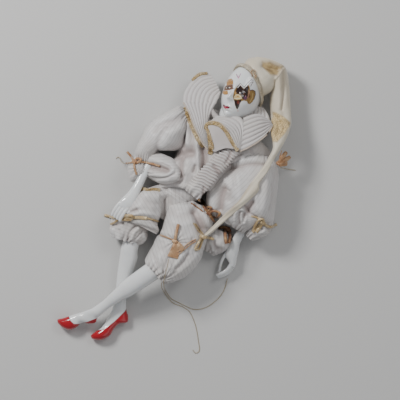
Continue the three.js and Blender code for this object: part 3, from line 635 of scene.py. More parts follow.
# the face's paint, its outlines read off the photograph in its pixels
facePaint = {
    "tones": {
        "gold": (0.36, 0.20, 0.055), "amber": (0.50, 0.235, 0.06), "paleGold": (0.86, 0.60, 0.26),
        "cream": (0.95, 0.88, 0.58), "dark": (0.022, 0.008, 0.006), "brown": (0.12, 0.045, 0.018),
        "redBrown": (0.17, 0.030, 0.014), "greenDark": (0.030, 0.032, 0.014), "slate": (0.085, 0.10, 0.12),
        "purple": (0.13, 0.055, 0.10), "pinkBrown": (0.42, 0.20, 0.15), "white": (0.88, 0.87, 0.84),
        "line": (0.085, 0.055, 0.06), "rose": (0.66, 0.30, 0.38), "violet": (0.30, 0.10, 0.24),
        "salmon": (0.72, 0.28, 0.22), "crimson": (0.30, 0.006, 0.030), "darkRed": (0.085, 0.004, 0.014),
        "grey": (0.30, 0.25, 0.21),
    },
    "mask": [
        [233.0, 95.2], [233.9, 91], [235.6, 88.4], [237.2, 86.6], [239.2, 84.8], [240.8, 86.4], [243.2, 89.0],
        [245.6, 87], [247.8, 84.8], [249.3, 87], [249.9, 90.4], [252.5, 90.0], [255.1, 91.4], [255.4, 95],
        [254.3, 99], [252.2, 102.4], [249.6, 104.6], [247.4, 104], [246.4, 101.8], [243.6, 101.2],
        [241.4, 101.8], [239.8, 104], [238.8, 107.2], [237.4, 110], [236, 109.2], [234.6, 105.6],
        [233.8, 101.4], [233, 99.4], [232.6, 97]],
    "shade": [
        [236.2, 89.6], [237.6, 86.9], [239.3, 85.5], [241, 87.6], [243.2, 90.2], [245.8, 88], [247.8, 85.8],
        [248.6, 88.6], [247.9, 92], [247.6, 95.6], [246.6, 98.8], [244, 100.2], [241.9, 99.4], [240.8, 96.4],
        [238.6, 94.9], [236.2, 94.2], [235.4, 92]],
    "goldBand": [
        [250.3, 91.8], [253.9, 92.6], [254.5, 95.6], [253.4, 99], [251.2, 102.4], [248.8, 103.9], [248, 102],
        [249.8, 98.6], [250.2, 95.4]],
    "zigzag": [
        [237.4, 87], [239.9, 83.9], [242.2, 86.3], [243.7, 87.7], [246.4, 84.9], [249.2, 81.8], [251, 80.3],
        [252.9, 80.9], [252.4, 83.2], [251, 85.4], [250.4, 87.4]],
    "triangle": [
        [236, 95], [238.5, 95.1], [240.5, 96.8], [241.9, 98.9], [239.5, 100], [236.5, 100.1], [233.6, 99.4],
        [234.1, 97.2]],
    "tail": [
        [233.9, 100.4], [237, 100.9], [241, 100.3], [241.1, 101.6], [239.7, 104], [238.8, 107.2], [237.4, 109.8],
        [236, 108.8], [234.7, 105.2], [234, 102]],
    "farTop": [[227.6, 79.6], [231.4, 78.8], [233, 80.8], [233.1, 84.9], [229.6, 85.4], [226.4, 85.6], [226.4, 82]],
    "farDark": [[225.6, 85.5], [232.8, 84.9], [233.2, 89.6], [229, 90.3], [223.6, 90.4], [224.2, 87.4]],
    "farLow": [[222.8, 91], [227.5, 90.9], [228.2, 94.9], [224.4, 95.4], [222.2, 93.8]],
    "lips": [
        [222.9, 104.4], [224.5, 105.4], [225.8, 106.6], [227.2, 106.0], [228.9, 107.1], [229.9, 108.5],
        [227.6, 109.3], [225.5, 109.5], [224.0, 108.5], [223.1, 107]],
}


def paintFace(x, y, up):
    # coats of paint laid over each other, each with its cover, its tone and how much of it is gilt; the white glints in
    # the eyes and the small pale spots on the mask and lips are painted highlights
    x, y = onPhoto(x, y)
    tones = facePaint["tones"]
    colour = np.zeros(x.shape + (3,)) + tones["white"]
    cover, gilt = np.zeros(x.shape), np.zeros(x.shape)

    def lay(amount, tone, metal=0.0):
        nonlocal colour, cover, gilt
        amount = amount * up
        colour = colour * (1 - amount[..., None]) + np.asarray(tones[tone]) * amount[..., None]
        cover = cover + amount * (1 - cover)
        gilt = gilt * (1 - amount) + metal * amount

    def area(key, soft=0.22):
        return within(x, y, facePaint[key], soft)

    haze = lambda cx, cy, wide: np.exp(-((x - cx) ** 2 + (y - cy) ** 2) / wide ** 2)
    lay(0.16 * haze(236.5, 77.5, 3.4) + 0.14 * haze(247, 84, 5) + 0.20 * haze(231, 107, 2.6), "rose")
    # the mask over the near eye
    lay(area("mask"), "gold", 0.9)
    brushed = 0.5 + 0.5 * np.sin(x * 2.9 + 1.3 * np.sin(y * 1.2))
    lay(area("mask") * brushed ** 2 * 0.6, "brown", 0.4)
    lay(0.8 * haze(235.0, 92.2, 1.5) * area("mask"), "amber", 0.7)
    lay(area("shade", 0.35), "dark")
    lay(area("goldBand"), "gold", 0.9)
    lay(0.75 * line(x, y, [[252.4, 94], [252.2, 98], [249.6, 102.6]], 1.1), "paleGold", 0.9)
    lay(spot(x, y, 248.8, 96.6, 1.7, 2.6, 0.5), "brown", 0.5)
    lay(line(x, y, [[249.8, 91.1], [252.4, 90.4], [255.0, 91.9], [255.3, 95], [253.8, 99.6]], 0.75), "line")
    lay(0.8 * line(x, y, [[248.9, 92], [248.5, 95.4], [247.4, 98.8]], 0.8), "pinkBrown")
    lay(spot(x, y, 245.0, 98.8, 2.3, 2.0, 0.4), "purple")
    # painted highlight: a small pink spot on the purple
    lay(0.7 * spot(x, y, 245.3, 96.7, 0.7, 0.6, 0.5), "rose")
    # the eye
    lay(spot(x, y, 241.6, 94.0, 3.4, 1.7), "brown")
    lay(0.8 * spot(x, y, 241.2, 94.1, 2.5, 1.25), "grey")
    lay(spot(x, y, 241.9, 94.0, 1.5, 1.35), "slate")
    lay(spot(x, y, 241.9, 94.0, 0.8, 0.8), "dark")
    lay(line(x, y, [[238.2, 94.6], [240.4, 92.6], [243, 92.5], [245.4, 94]], 0.65), "dark")
    # painted highlight: the white glint on the eye
    lay(spot(x, y, 239.6, 93.4, 0.65, 0.8), "white")
    # the pale triangle under it, and the tail below
    lay(area("triangle"), "paleGold", 0.75)
    lay(0.8 * spot(x, y, 237.6, 96.9, 1.2, 0.8, 0.5), "amber", 0.5)
    lay(line(x, y, [[234.1, 98.9], [237, 99.5], [241.2, 98.7]], 0.9), "cream", 0.2)
    lay(line(x, y, [[234.2, 97.4], [236.0, 95.3], [238.4, 95.4], [240.6, 97.2]], 0.55), "cream", 0.2)
    lay(area("tail"), "dark")
    lay(0.95 * spot(x, y, 237.9, 103, 1.6, 2.3, 0.5), "redBrown")
    lay(0.9 * spot(x, y, 236.6, 107.2, 1.2, 2.0, 0.6), "greenDark")
    lay(0.8 * spot(x, y, 237.6, 111.2, 1.5, 1.2, 0.7), "salmon")
    # the double zigzag brow
    zigzag = np.array(facePaint["zigzag"])
    lay(line(x, y, zigzag[:8] + [0.1, 1.3], 0.6), "white")
    lay(line(x, y, zigzag, 0.62), "line")
    lay(line(x, y, zigzag[1:8] + [0.2, 2.3], 0.55), "line")
    lay(0.6 * line(x, y, [[251.6, 84.2], [249.6, 86.2]], 0.6), "line")
    # the far eye's blocks
    lay(area("farTop"), "amber", 0.6)
    lay(0.6 * spot(x, y, 231.6, 80.6, 1.2, 1.6, 0.6), "grey")
    lay(area("farLow"), "amber", 0.6)
    lay(0.55 * spot(x, y, 230, 92.8, 2.0, 2.4, 0.5), "grey")
    lay(0.6 * line(x, y, [[223.6, 87], [221.8, 93], [220.6, 99]], 1.6, 0.8), "gold", 0.4)
    lay(area("farDark", 0.3), "brown")
    lay(spot(x, y, 227.8, 88.0, 2.6, 1.5, 0.4), "dark")
    # painted highlights: two white glints in the far eye
    lay(0.9 * spot(x, y, 229.4, 88.1, 1.0, 0.6, 0.4), "white")
    lay(0.8 * spot(x, y, 226.4, 88.2, 0.6, 0.5, 0.4), "white")
    lay(line(x, y, [[223.4, 90.5], [229, 90.4], [233.8, 89.3]], 0.7), "brown")
    # the mark on the forehead
    lay(line(x, y, [[236.4, 74.7], [236.9, 76.4], [238, 78.4]], 0.95, 0.5), "violet")
    lay(line(x, y, [[240.3, 74.4], [239.4, 76.6], [238.3, 78.6]], 0.85, 0.5), "violet")
    lay(0.7 * line(x, y, [[238.2, 76.4], [238.2, 79.4]], 1.0, 0.6), "rose")
    # the lips
    lay(area("lips", 0.3), "crimson")
    lay(spot(x, y, 223.7, 105.8, 1.0, 1.3, 0.5), "darkRed")
    lay(0.8 * spot(x, y, 228.6, 108.3, 1.3, 0.8, 0.5), "darkRed")
    # painted highlight: a lighter spot on the lips
    lay(0.55 * spot(x, y, 224.9, 107.2, 0.9, 0.8, 0.7), "rose")
    return {"paint": colour, "painted": cover, "gilt": gilt}


neckTable = [[-6, 150, 20, 148, 24, 46], [-4, 136, 22, 134, 22, 44], [0, 112, 24, 110, 16, 38]]
grid = headGrid(head["columns"], head["rows"], forms=head["forms"])
normal = facing(grid)
up = np.clip(normal[..., 2] * 8 - 0.3, 0, 1)
bare = lambda shape: {"paint": np.ones(shape + (3,)), "painted": np.zeros(shape), "gilt": np.zeros(shape)}
porcelainHead = Mesh().grid(grid, marks=paintFace(grid[..., 0], grid[..., 1], up))
neck = loft(neckTable, 30, 48)
porcelainHead = porcelainHead.grid(neck, marks=bare(neck.shape[:2])).make("porcelainHead", finishes["porcelain"])
ridesFor(porcelainHead, "porcelain", "head")
print("head painted")


# ---- lower legs, with shoes painted on
legs = {
    "left": [
        [24.4, -73, 47.6, -85, 31.5, 56.5], [13, -96, 37, -108, 28, 54], [4.5, -115, 27.5, -127, 24, 49],
        [-3.6, -134.5, 17.6, -145.5, 22.2, 43.6], [-6.3, -146.2, 11.3, -153.8, 22, 39.5],
        [-9.6, -157.2, 5.6, -163.8, 20.5, 36.5], [-12.4, -167.7, 0.4, -173.3, 19.5, 33],
        [-16, -177, -3.5, -183, 17.6, 30.6], [-21.5, -188, -6.5, -191.5, 15.5, 28.5],
        [-26, -194, -8.5, -197, 13, 26], [-31, -200, -7.5, -203, 10.5, 23.5],
        [-36, -205.5, -14, -209, 8.5, 22], [-41, -211, -24, -214, 6.5, 20],
        [-46, -217, -28, -224, 4, 20], [-50.5, -222, -34.5, -231, 2, 18.5],
        [-54, -225, -44, -233, 1, 16], [-55.8, -227.3, -52.3, -231, 4, 12],
    ],
    "right": [
        [-32.9, -73.5, -11.1, -66.5, 8.5, 31.5], [-28.9, -93.6, -6.1, -86.4, 6, 30],
        [-25.2, -103.8, -0.8, -96.2, 3.2, 27.8], [-17.6, -123.3, 3.2, -116.7, 2.5, 23.5],
        [-8.5, -143.7, 8.5, -136.3, 2.6, 21], [-1.2, -157, 13.2, -151, 3, 19],
        [0.5, -166, 18, -161, 2.5, 18], [3, -173, 22.5, -168, 2, 17.5], [4, -178.5, 28, -173.5, 1.5, 16.5],
        [4.2, -184, 30.8, -181, 1.5, 16], [4.3, -190.5, 22.5, -188.5, 1.5, 15.5],
        [4.2, -199, 19.2, -198.5, 1, 15.5], [3, -207, 19, -209.5, 0.6, 16.5],
        [-0.2, -214, 13, -219.5, 0.4, 16], [-2.8, -220, 5, -224.5, 1, 13.5],
        [-3.6, -223, -0.6, -226, 4, 10],
    ],
    "leftShoe": [[-60, -214], [-44, -214.5], [-39, -218.5], [-33, -220], [-26, -216.5], [-18, -208],
                 [-12, -200.5], [-8, -195.5], [8, -194], [10, -250], [-70, -250]],
    "rightShoe": [[20, -160], [20.5, -169], [17.5, -180], [14.5, -190], [10.5, -200], [6, -207.5],
                  [-1, -213], [-12, -216], [-12, -240], [40, -240], [44, -160]],
    "red": (0.40, 0.004, 0.012), "deepRed": (0.17, 0.001, 0.006),
}


def makeLeg(name, table, shoe, node):
    grid = loft(table, 260, 96, 2.1)
    x, y = grid[..., 0], grid[..., 1]
    cover = within(x, y, shoe, 0.35)
    edge = line(x, y, shoe, 1.3, closed=True)
    colour = np.zeros(x.shape + (3,)) + legs["red"]
    shade = np.clip(edge + 0.25 * (waves(grid, 5, 14) + 0.18) * 2, 0, 1)[..., None]
    colour = colour * (1 - shade) + np.asarray(legs["deepRed"]) * shade
    grid = grid + facing(grid) * (0.35 * cover)[..., None]
    grid[..., 2] = np.maximum(grid[..., 2], 0.3)
    marks = {"paint": colour, "painted": cover, "gilt": np.zeros(x.shape)}
    piece = Mesh().grid(grid, marks=marks).make(name, finishes["porcelain"])
    ridesFor(piece, "painted_porcelain", node)


makeLeg("rightLowerLeg", legs["right"], legs["rightShoe"], "right_lower_leg")
makeLeg("leftLowerLeg", legs["left"], legs["leftShoe"], "left_lower_leg")
print("legs made")

# ---- forearms and hands
forearms = {
    "left": {
        "arm": [
            [101, 24, 113, 24, 8, 20], [100.5, 8, 113, 8, 7.5, 19.5], [100.5, -5, 113.5, -5, 6, 18.5],
            [100.8, -15, 117, -15, 4, 18.5], [101, -24, 120, -25, 2.5, 19], [104, -31, 123.4, -34, 1.5, 19.5],
            [113, -36.5, 123.4, -39.5, 2.5, 18.5],
        ],
        "finger": [[117, -34, 16, 2.8], [116.6, -44, 16, 2.6], [113.6, -52, 15.5, 2.4], [107.3, -60, 15, 1.9]],
        "step": [1.3, -0.6, -4, 0], "fingers": 4,
        "thumb": [[104.2, -26, 11, 3.4], [103, -35, 11, 2.4], [104.4, -44, 11, 2], [108, -55.5, 11.5, 2]],
    },
    "right": {
        "arm": [
            [-58.5, 26, -47, 27, 32, 43], [-58.5, 10, -46.5, 12, 33, 44], [-57.5, -8, -44.5, -9, 36, 47.5],
            [-59, -22, -43, -22, 39, 50.5], [-62, -33, -42.5, -33, 41.5, 52], [-64, -43, -45.5, -43, 43, 51],
        ],
        "finger": [[-61.2, -40, 47.5, 2.7], [-62.2, -48, 47.5, 2.5], [-62.6, -55, 46, 2.3], [-62, -60.5, 44, 1.9]],
        "step": [4.5, -0.4, 0.3, 0], "fingers": 4,
        "thumb": [[-45, -27, 45.5, 3.2], [-43, -35, 46.5, 2.8], [-43, -42, 47.5, 2.4], [-45, -48, 48, 1.9]],
    },
    "voxel": 0.55,
}


def fused(piece, voxel, smoothing=6):
    # overlapping bodies made one skin: a voxel remesh, then smoothing, then taken as the mesh
    remesh = piece.modifiers.new("fuse", "REMESH")
    remesh.mode, remesh.voxel_size, remesh.use_smooth_shade = "VOXEL", voxel / 1000, True
    smooth = piece.modifiers.new("smooth", "SMOOTH")
    smooth.factor, smooth.iterations = 0.5, smoothing
    return applied(piece)


def applied(piece):
    depsgraph = bpy.context.evaluated_depsgraph_get()
    mesh = bpy.data.meshes.new_from_object(piece.evaluated_get(depsgraph), depsgraph=depsgraph)
    old = piece.data
    piece.modifiers.clear()
    piece.data = mesh
    mesh.name = piece.name
    bpy.data.meshes.remove(old)
    return piece


def makeForearm(name, shape, node):
    parts = Mesh().grid(loft(shape["arm"], 60, 40, 2.2)).grid(rod(shape["thumb"], 24, 20))
    for k in range(shape["fingers"]):
        run = np.array(shape["finger"]) + k * np.array(shape["step"])
        tip = run[-1] + [0, 0, 0, -0.9] + np.append((run[-1] - run[-2])[:3] * 0.12, 0)
        parts.grid(rod(np.vstack([run, tip]).tolist(), 30, 20))
    piece = fused(parts.make(name, finishes["porcelain"]), forearms["voxel"])
    ridesFor(piece, "porcelain", node)


makeForearm("leftForearm", forearms["left"], "left_forearm")
makeForearm("rightForearm", forearms["right"], "right_forearm")
print("forearms made")


# ---- the costume's puffed pieces
relief = {"step": 0.8, "corner": [-125, -250], "height": np.zeros((370, 650))}


def keepHeight(grid):
    # notes the highest point over each small square of the doll, for what is laid on it later
    i = np.clip(((grid[..., 0] - relief["corner"][0]) / relief["step"]).astype(int), 0, 369).ravel()
    j = np.clip(((grid[..., 1] - relief["corner"][1]) / relief["step"]).astype(int), 0, 649).ravel()
    np.maximum.at(relief["height"], (i, j), grid[..., 2].ravel())


def landed(points, lift=0.0, count=60, calm=5, least=0.0):
    # a route over what is made so far: photograph places -> a smooth path that much above the relief
    route = curve(seen(points)[:, :2], count)
    i = ((route[:, 0] - relief["corner"][0]) / relief["step"]).astype(int)
    j = ((route[:, 1] - relief["corner"][1]) / relief["step"]).astype(int)
    near = [relief["height"][i + a, j + b] for a in (-1, 0, 1) for b in (-1, 0, 1)]
    high = np.maximum(np.max(near, axis=0), least)
    edge = np.pad(high, calm, mode="edge")
    high = np.convolve(edge, np.ones(2 * calm + 1) / (2 * calm + 1), mode="valid")
    rise = np.interp(np.linspace(0, 1, count), np.linspace(0, 1, np.size(lift)), np.ravel(lift))
    return np.column_stack([route, high + rise])


def folded(x, y, folds):
    # each fold is its height, width and sharpness, then its line in the photograph:
    # height x exp(-(distance from the line / width) ^ sharpness)
    rise = np.zeros_like(x)
    for height, width, sharp, route in folds:
        away = distanceTo(x, y, curve(seen(route), 6 * len(route)), closed=False)
        rise += height * np.exp(-(away / width) ** sharp)
    return rise


def fanned(x, y, fans):
    # pleats spreading from a tie: height x cos(count x angle) x exp(-(distance / reach) ^ 2)
    rise = np.zeros_like(x)
    for place, height, count, reach in fans:
        cx, cy = seen([place])[0]
        angle, away = np.arctan2(y - cy, x - cx), np.hypot(x - cx, y - cy)
        wobble = 0.9 * np.sin(angle * 2 + cx) + 0.5 * np.sin(angle * 5 + cy)
        rise += height * np.cos(count * angle + wobble) * np.exp(-(away / reach) ** 2) * np.clip(away / 5, 0, 1)
    return rise


def garment(shape, rings, sides, seed):
    # a tube of cloth: its loft, wide soft folds, small creases, gathers at its ties and the folds
    # that the photograph shows on top; stripes run along it or, slanted, around it
    smooth = loft(shape["rows"], rings, sides, shape.get("power", 2.3))
    normal = facing(smooth)
    x, y = smooth[..., 0], smooth[..., 1]
    share = np.linspace(0, 1, rings)[:, None]
    angle = np.linspace(0, 2 * np.pi, sides, endpoint=False)[None, :]
    size = shape.get("size", 26)
    rise = shape.get("soft", 1.4) * (2.2 * waves(smooth, seed, size) + 0.9 * waves(smooth, seed + 1, size * 0.4))
    rise = rise + shape.get("creases", 0.5) * 1.6 * (waves(smooth, seed + 2, size * 0.2, 6, 4.0) + 0.1)
    chance = np.random.default_rng(seed + 7)
    for place, reach, depth, number in shape.get("gathers", ()):
        near = np.exp(-((share - place) / reach) ** 2)
        jitter = sum(chance.uniform(0.3, 0.8) * np.sin((k + 1) * angle + chance.uniform(0, 6)) for k in range(5))
        pleat = np.cos(number * angle + 1.7 * jitter)
        rise = rise + near * depth * (pleat - 0.35 * pleat ** 2)
    top = np.clip(normal[..., 2] * 2.2 + 0.25, 0, 1)
    rise = rise + top * (folded(x, y, shape.get("folds", ())) + fanned(x, y, shape.get("fans", ())))
    grid = smooth + normal * rise[..., None]
    grid[..., 2] = np.maximum(grid[..., 2], 0.3)
    keepHeight(grid)
    middle = smooth.mean(axis=1)
    gone = np.concatenate([[0], np.cumsum(np.linalg.norm(np.diff(middle, axis=0), axis=1))])
    pitch, slant = shape["pitch"], shape.get("slant", 0.0)
    around = np.linspace(0, 1, sides + 1)[None, :] + np.zeros((rings, 1))
    if shape["stripes"] == "along":
        girth = np.linalg.norm(smooth - np.roll(smooth, 1, axis=1), axis=-1).sum(axis=1).max()
        stripe = around * round(girth / pitch) + slant * gone[:, None]
        along = gone[:, None] + 0 * around
    else:
        way = math.radians(slant - camera["roll"])
        ring = np.concatenate([grid, grid[:, :1]], axis=1)
        stripe = (ring[..., 1] * math.cos(way) - ring[..., 0] * math.sin(way)) / pitch
        along = ring[..., 0] * math.cos(way) + ring[..., 1] * math.sin(way)
    # painted shade: darker where the cloth is pressed in, and darkest on the turned-in ends
    hollow = np.clip(0.12 - rise / 6.5, 0, 1)
    tucks = shape.get("tucks", (None, None))
    first, last = (5 if depth is not None else 0 for depth in tucks)
    grid = tuck(grid, *tucks)
    ends = lambda values, fill: np.concatenate(
        [np.repeat(values[:1], first, 0) * 0 + (values[:1] if fill is None else fill), values,
         np.repeat(values[-1:], last, 0) * 0 + (values[-1:] if fill is None else fill)])
    return grid, {"hollow": ends(hollow, 0.9)}, (ends(stripe, None), ends(along, None))


def puffPiece(name, slot, node, parts, finish="satin"):
    mesh = Mesh()
    for n, (shape, rings, sides) in enumerate(parts):
        grid, marks, uv = garment(shape, rings, sides, 11 + 10 * n + sum(map(ord, name)) % 97)
        mesh.grid(grid, marks=marks, uv=uv)
    piece = mesh.make(name, finishes[finish])
    ridesFor(piece, slot, node)
    return piece


rightSleeve = {
    "puff": {
        "rows": [
            [-56, 121, -34, 112, 6, 42], [-64, 111, -31, 98, -1, 54], [-76, 90, -27, 84, -4, 59],
            [-82.5, 70, -24, 72, -4, 58], [-82, 57, -31, 62, -3, 55.5], [-81, 45, -47, 52, 0, 51],
            [-79, 33, -52, 42, 4, 47], [-75, 23, -49, 32, 8, 43]],
        "stripes": "along", "pitch": 4.6, "slant": 0.02, "soft": 1.0, "creases": 0.7,
        "gathers": [(0.0, 0.14, 0.7, 24), (1.0, 0.10, 1.1, 26)], "tucks": (None, 5),
        "folds": [
            [-2.4, 5, 2, [[183, 117], [172, 121.5], [161, 124.5], [155, 130]]],
            [2.0, 5, 2, [[180, 112], [168, 117], [156, 123]]],
            [2.4, 7, 2, [[181, 129], [170, 136], [164, 146]]],
            [-1.6, 3, 2, [[166, 128], [160, 137], [157, 147]]],
            [-3.0, 2.4, 1.4, [[158, 151.5], [163, 154.6], [170, 155]]],
            [1.5, 5, 2, [[150, 128], [144, 140], [139, 152]]],
            [-1.1, 2.5, 2, [[176, 126], [168, 129]]],
        ],
    },
    "lobe": {
        "rows": [
            [-66, 40, -63, 22, 10, 36], [-57, 46, -56, 13, 5, 44], [-47, 49.5, -46, 11, 3, 51],
            [-38, 50.5, -36, 10.5, 3, 56], [-27, 51, -24, 12, 10, 61], [-17, 47, -14, 17, 20, 63],
            [-9, 40, -8, 24, 34, 62], [-6, 33, -5.5, 28, 44, 57]],
        "stripes": "around", "pitch": 4.4, "slant": 62, "soft": 0.5, "creases": 0.8, "size": 18,
        "folds": [
            [-7.5, 5.5, 2, [[142, 167], [150, 166.5], [158, 167.5], [166, 169.5]]],
            [-2.2, 1.6, 1.5, [[136, 161], [144, 162.4], [153, 164], [160, 166.2], [165, 168.5]]],
            [-1.5, 1.1, 1.4, [[145, 173], [152, 171.4], [159, 168.6]]],
            [-1.5, 1.0, 1.4, [[146, 174.4], [153, 173.6], [160, 171.6]]],
            [1.6, 1.6, 2, [[147, 172.2], [154, 169.8], [159, 167.4]]],
            [-2.2, 1.5, 1.4, [[149, 176], [158, 178.2], [167, 177.4], [175, 173.4]]],
            [2.0, 2.6, 2, [[150, 175], [160, 175.6], [168, 174.6], [173, 170]]],
            [1.2, 2.2, 2, [[158, 181], [168, 181]]],
            [-1.3, 1.2, 1.4, [[162, 163], [169, 166], [172, 170]]],
        ],
        "fans": [[[143, 171], 0.8, 17, 17]],
    },
    "frill": {
        "rows": [
            [-76, 25, -58, 28, 12, 42], [-78.5, 17, -52, 22, 5, 46], [-76, 6, -48, 18, 3, 46],
            [-68, -4, -50, 15, 6, 44], [-60, -7, -52, 10, 12, 38]],
        "stripes": "around", "pitch": 4.4, "slant": 80, "soft": 0.4, "size": 14, "creases": 0.8,
        "gathers": [(0.0, 0.3, 0.9, 17)],
        "fans": [[[140, 167], 0.9, 15, 18]],
    },
}
leftSleeve = {
    "puff": {
        "rows": [
            [58, 113, 94, 122, 8, 44], [51, 102, 107, 112, 0, 54], [46, 88, 119, 92, -4, 60],
            [43, 72, 127, 72, -4, 63], [37, 52, 135, 54, -4, 63], [36, 42, 138, 42, -3, 60],
            [39, 28, 126, 29, -1, 57], [46, 17, 114, 17, 3, 51], [54, 11, 110, 9, 10, 40]],
        "power": 2.4, "stripes": "along", "pitch": 4.6, "slant": -0.055, "soft": 0.9, "creases": 0.6,
        "gathers": [(0.0, 0.12, 0.7, 26), (1.0, 0.12, 1.1, 23)],
        "folds": [
            [-4.0, 2.6, 1.5, [[222, 168.5], [231, 167], [240, 165], [250, 163.6], [262, 164], [268, 165]]],
            [2.2, 4.5, 2, [[232, 162], [245, 158], [258, 158]]],
            [-1.6, 5, 2, [[226, 171], [236, 169], [242, 168]]],
            [-6.0, 5.0, 2, [[223, 189], [221, 198], [219.5, 210]]],
            [-2.2, 4.0, 2, [[229, 192], [228, 200]]],
            [2.4, 4.5, 2, [[212, 190], [210.5, 200], [212, 210]]],
            [-1.4, 1.4, 1.4, [[224, 184], [224.6, 188], [228, 190.6]]],
            [-5.5, 4.6, 2, [[252, 203], [248, 209], [246, 216]]],
            [-3.2, 1.8, 1.4, [[244, 206], [249, 213], [257, 217.6]]],
            [3.2, 7, 2, [[265, 176], [265, 192], [262, 208]]],
            [1.6, 3, 2, [[256, 196], [257, 208], [262, 215]]],
            [-1.6, 2.0, 1.6, [[271, 184], [271.5, 196], [269, 210]]],
            [-1.1, 1.6, 1.6, [[275, 172], [273, 182]]],
            [2.4, 2.2, 2, [[235, 220], [235.5, 213], [240, 209.4], [245, 211.4], [246.4, 217], [244, 223]]],
            [-3.0, 1.8, 1.6, [[239.6, 212], [238.6, 217], [239.6, 224]]],
            [1.4, 1.2, 1.6, [[241.8, 214], [241.6, 221]]],
            [-2.2, 1.6, 1.6, [[243.6, 214.6], [243.8, 221]]],
            [1.8, 2.6, 2, [[229, 218], [232, 224]]],
            [1.2, 3.6, 2, [[238, 176], [240, 190], [238, 202]]],
            [-0.9, 2.0, 1.6, [[233, 174], [234.5, 186]]],
        ],
    },
    "frill": {
        "rows": [
            [104, 42, 138.5, 44, 10, 44], [110, 31, 141.5, 31, 4, 46], [112, 18, 137.5, 20, 4, 42],
            [114, 8.5, 126, 7, 10, 32]],
        "stripes": "around", "pitch": 4.4, "slant": 60, "soft": 0.7, "size": 14, "creases": 0.9,
        "gathers": [(0.1, 0.3, 0.9, 15), (1.0, 0.3, 1.2, 13)], "tucks": (None, 5),
        "folds": [
            [-2.2, 1.8, 1.6, [[252, 231], [258, 227], [262, 230]]], [1.8, 2.4, 2, [[258, 233], [265, 231]]],
            [-1.8, 1.6, 1.6, [[262, 224], [268, 227], [270, 231]]],
        ],
    },
}
puffPiece("rightSleeve", "striped_satin", "right_sleeve",
          [(rightSleeve["puff"], 150, 240), (rightSleeve["lobe"], 110, 170), (rightSleeve["frill"], 60, 120)])
puffPiece("leftSleeve", "striped_satin", "left_sleeve",
          [(leftSleeve["puff"], 170, 260), (leftSleeve["frill"], 80, 140)])
print("sleeves made")

rightTrousers = {
    "seat": {
        "rows": [
            [-18, 20, 36, 32, 0, 40], [-21, 11, 30, 16, 0, 43], [-21, 3, 24, 2, 0, 44],
            [-16, -14, 12, -16, 0, 38], [-6, -30, 6, -31, 0, 28]],
        "power": 2.6, "stripes": "around", "pitch": 5.2, "slant": -28, "soft": 0.4, "creases": 0.4,
        "folds": [
            [1.5, 1.8, 2, [[163, 190], [170, 194], [177, 199], [184, 205]]],
            [-1.5, 1.5, 2, [[166, 189], [174, 194], [182, 201]]],
            [1.3, 1.6, 2, [[169, 191], [177, 195], [187, 201]]],
            [-1.4, 1.5, 2, [[174, 191], [182, 196], [190, 203]]],
            [-2.5, 3.0, 2, [[163, 196], [163.5, 206], [163, 216]]],
            [-1.8, 3.5, 2, [[168, 198], [170, 204]]],
        ],
    },
    "thigh": {
        "rows": [
            [-24, 13, 8, 13, 0, 34], [-33, 4, -3, 3, -2, 45], [-45, -11, -9, -8, -4, 54], [-50, -28, -4, -24, -4, 57],
            [-54, -42, 0, -40, -3, 56], [-57, -51, 6, -46, 0, 52], [-52, -56, 5, -52, 6, 48]],
        "power": 2.5, "stripes": "around", "pitch": 4.8, "slant": 3, "soft": 0.9, "creases": 0.5,
        "gathers": [(0.0, 0.10, 0.5, 20)], "tucks": (None, 4),
        "folds": [
            [-4.0, 2.4, 1.6, [[122, 215.5], [130, 211.8], [137, 209.5]]],
            [1.8, 2.8, 2, [[130, 214], [144, 213], [157, 216]]],
            [-2.4, 2.0, 1.7, [[122, 218.5], [134, 218], [146, 218.5], [159, 222]]],
            [1.8, 3.2, 2, [[128, 222.5], [142, 223.5], [156, 228]]],
            [-1.4, 2.0, 1.7, [[134, 224], [145, 227], [156, 231.5]]],
            [1.6, 2.6, 2, [[143, 231], [151, 233], [157, 234]]],
            [-1.0, 3.5, 2, [[142, 199], [150, 203], [158, 204]]],
            [1.2, 5.0, 2, [[146, 194], [155, 196]]],
            [1.2, 2.2, 2, [[158.5, 196], [159, 208], [158, 215]]],
        ],
        "fans": [[[119, 218], 1.2, 17, 26]],
    },
    "cuff": {
        "rows": [
            [-60, -46, -12, -46, 4, 40], [-62, -58, -8, -55, 2, 43], [-61, -66, -4, -62, 1, 41],
            [-57, -76, -5, -73, 1, 39], [-49, -87, -12, -80, 4, 35]],
        "power": 2.3, "stripes": "around", "pitch": 4.6, "slant": 40, "soft": 0.8, "size": 15, "creases": 1.0,
        "gathers": [(1.0, 0.30, 1.5, 16), (0.0, 0.4, 0.8, 14)], "tucks": (None, 6),
        "folds": [
            [-2.8, 1.5, 1.5, [[136, 226], [131, 230.5], [128, 236], [127.2, 242]]],
            [2.0, 2.0, 2, [[138.5, 228.5], [134, 233], [131.5, 239]]],
            [-1.8, 1.4, 1.5, [[142, 232], [138, 236.5], [134, 241]]],
            [1.8, 2.2, 2, [[144, 234.5], [145, 240]]],
            [-2.6, 1.9, 1.5, [[109, 225.4], [116, 224.6], [122, 222.6]]],
            [2.2, 4.0, 2, [[113, 231], [117, 238]]],
            [-1.4, 1.4, 1.5, [[119, 230], [121, 237], [121, 243]]],
        ],
    },
}
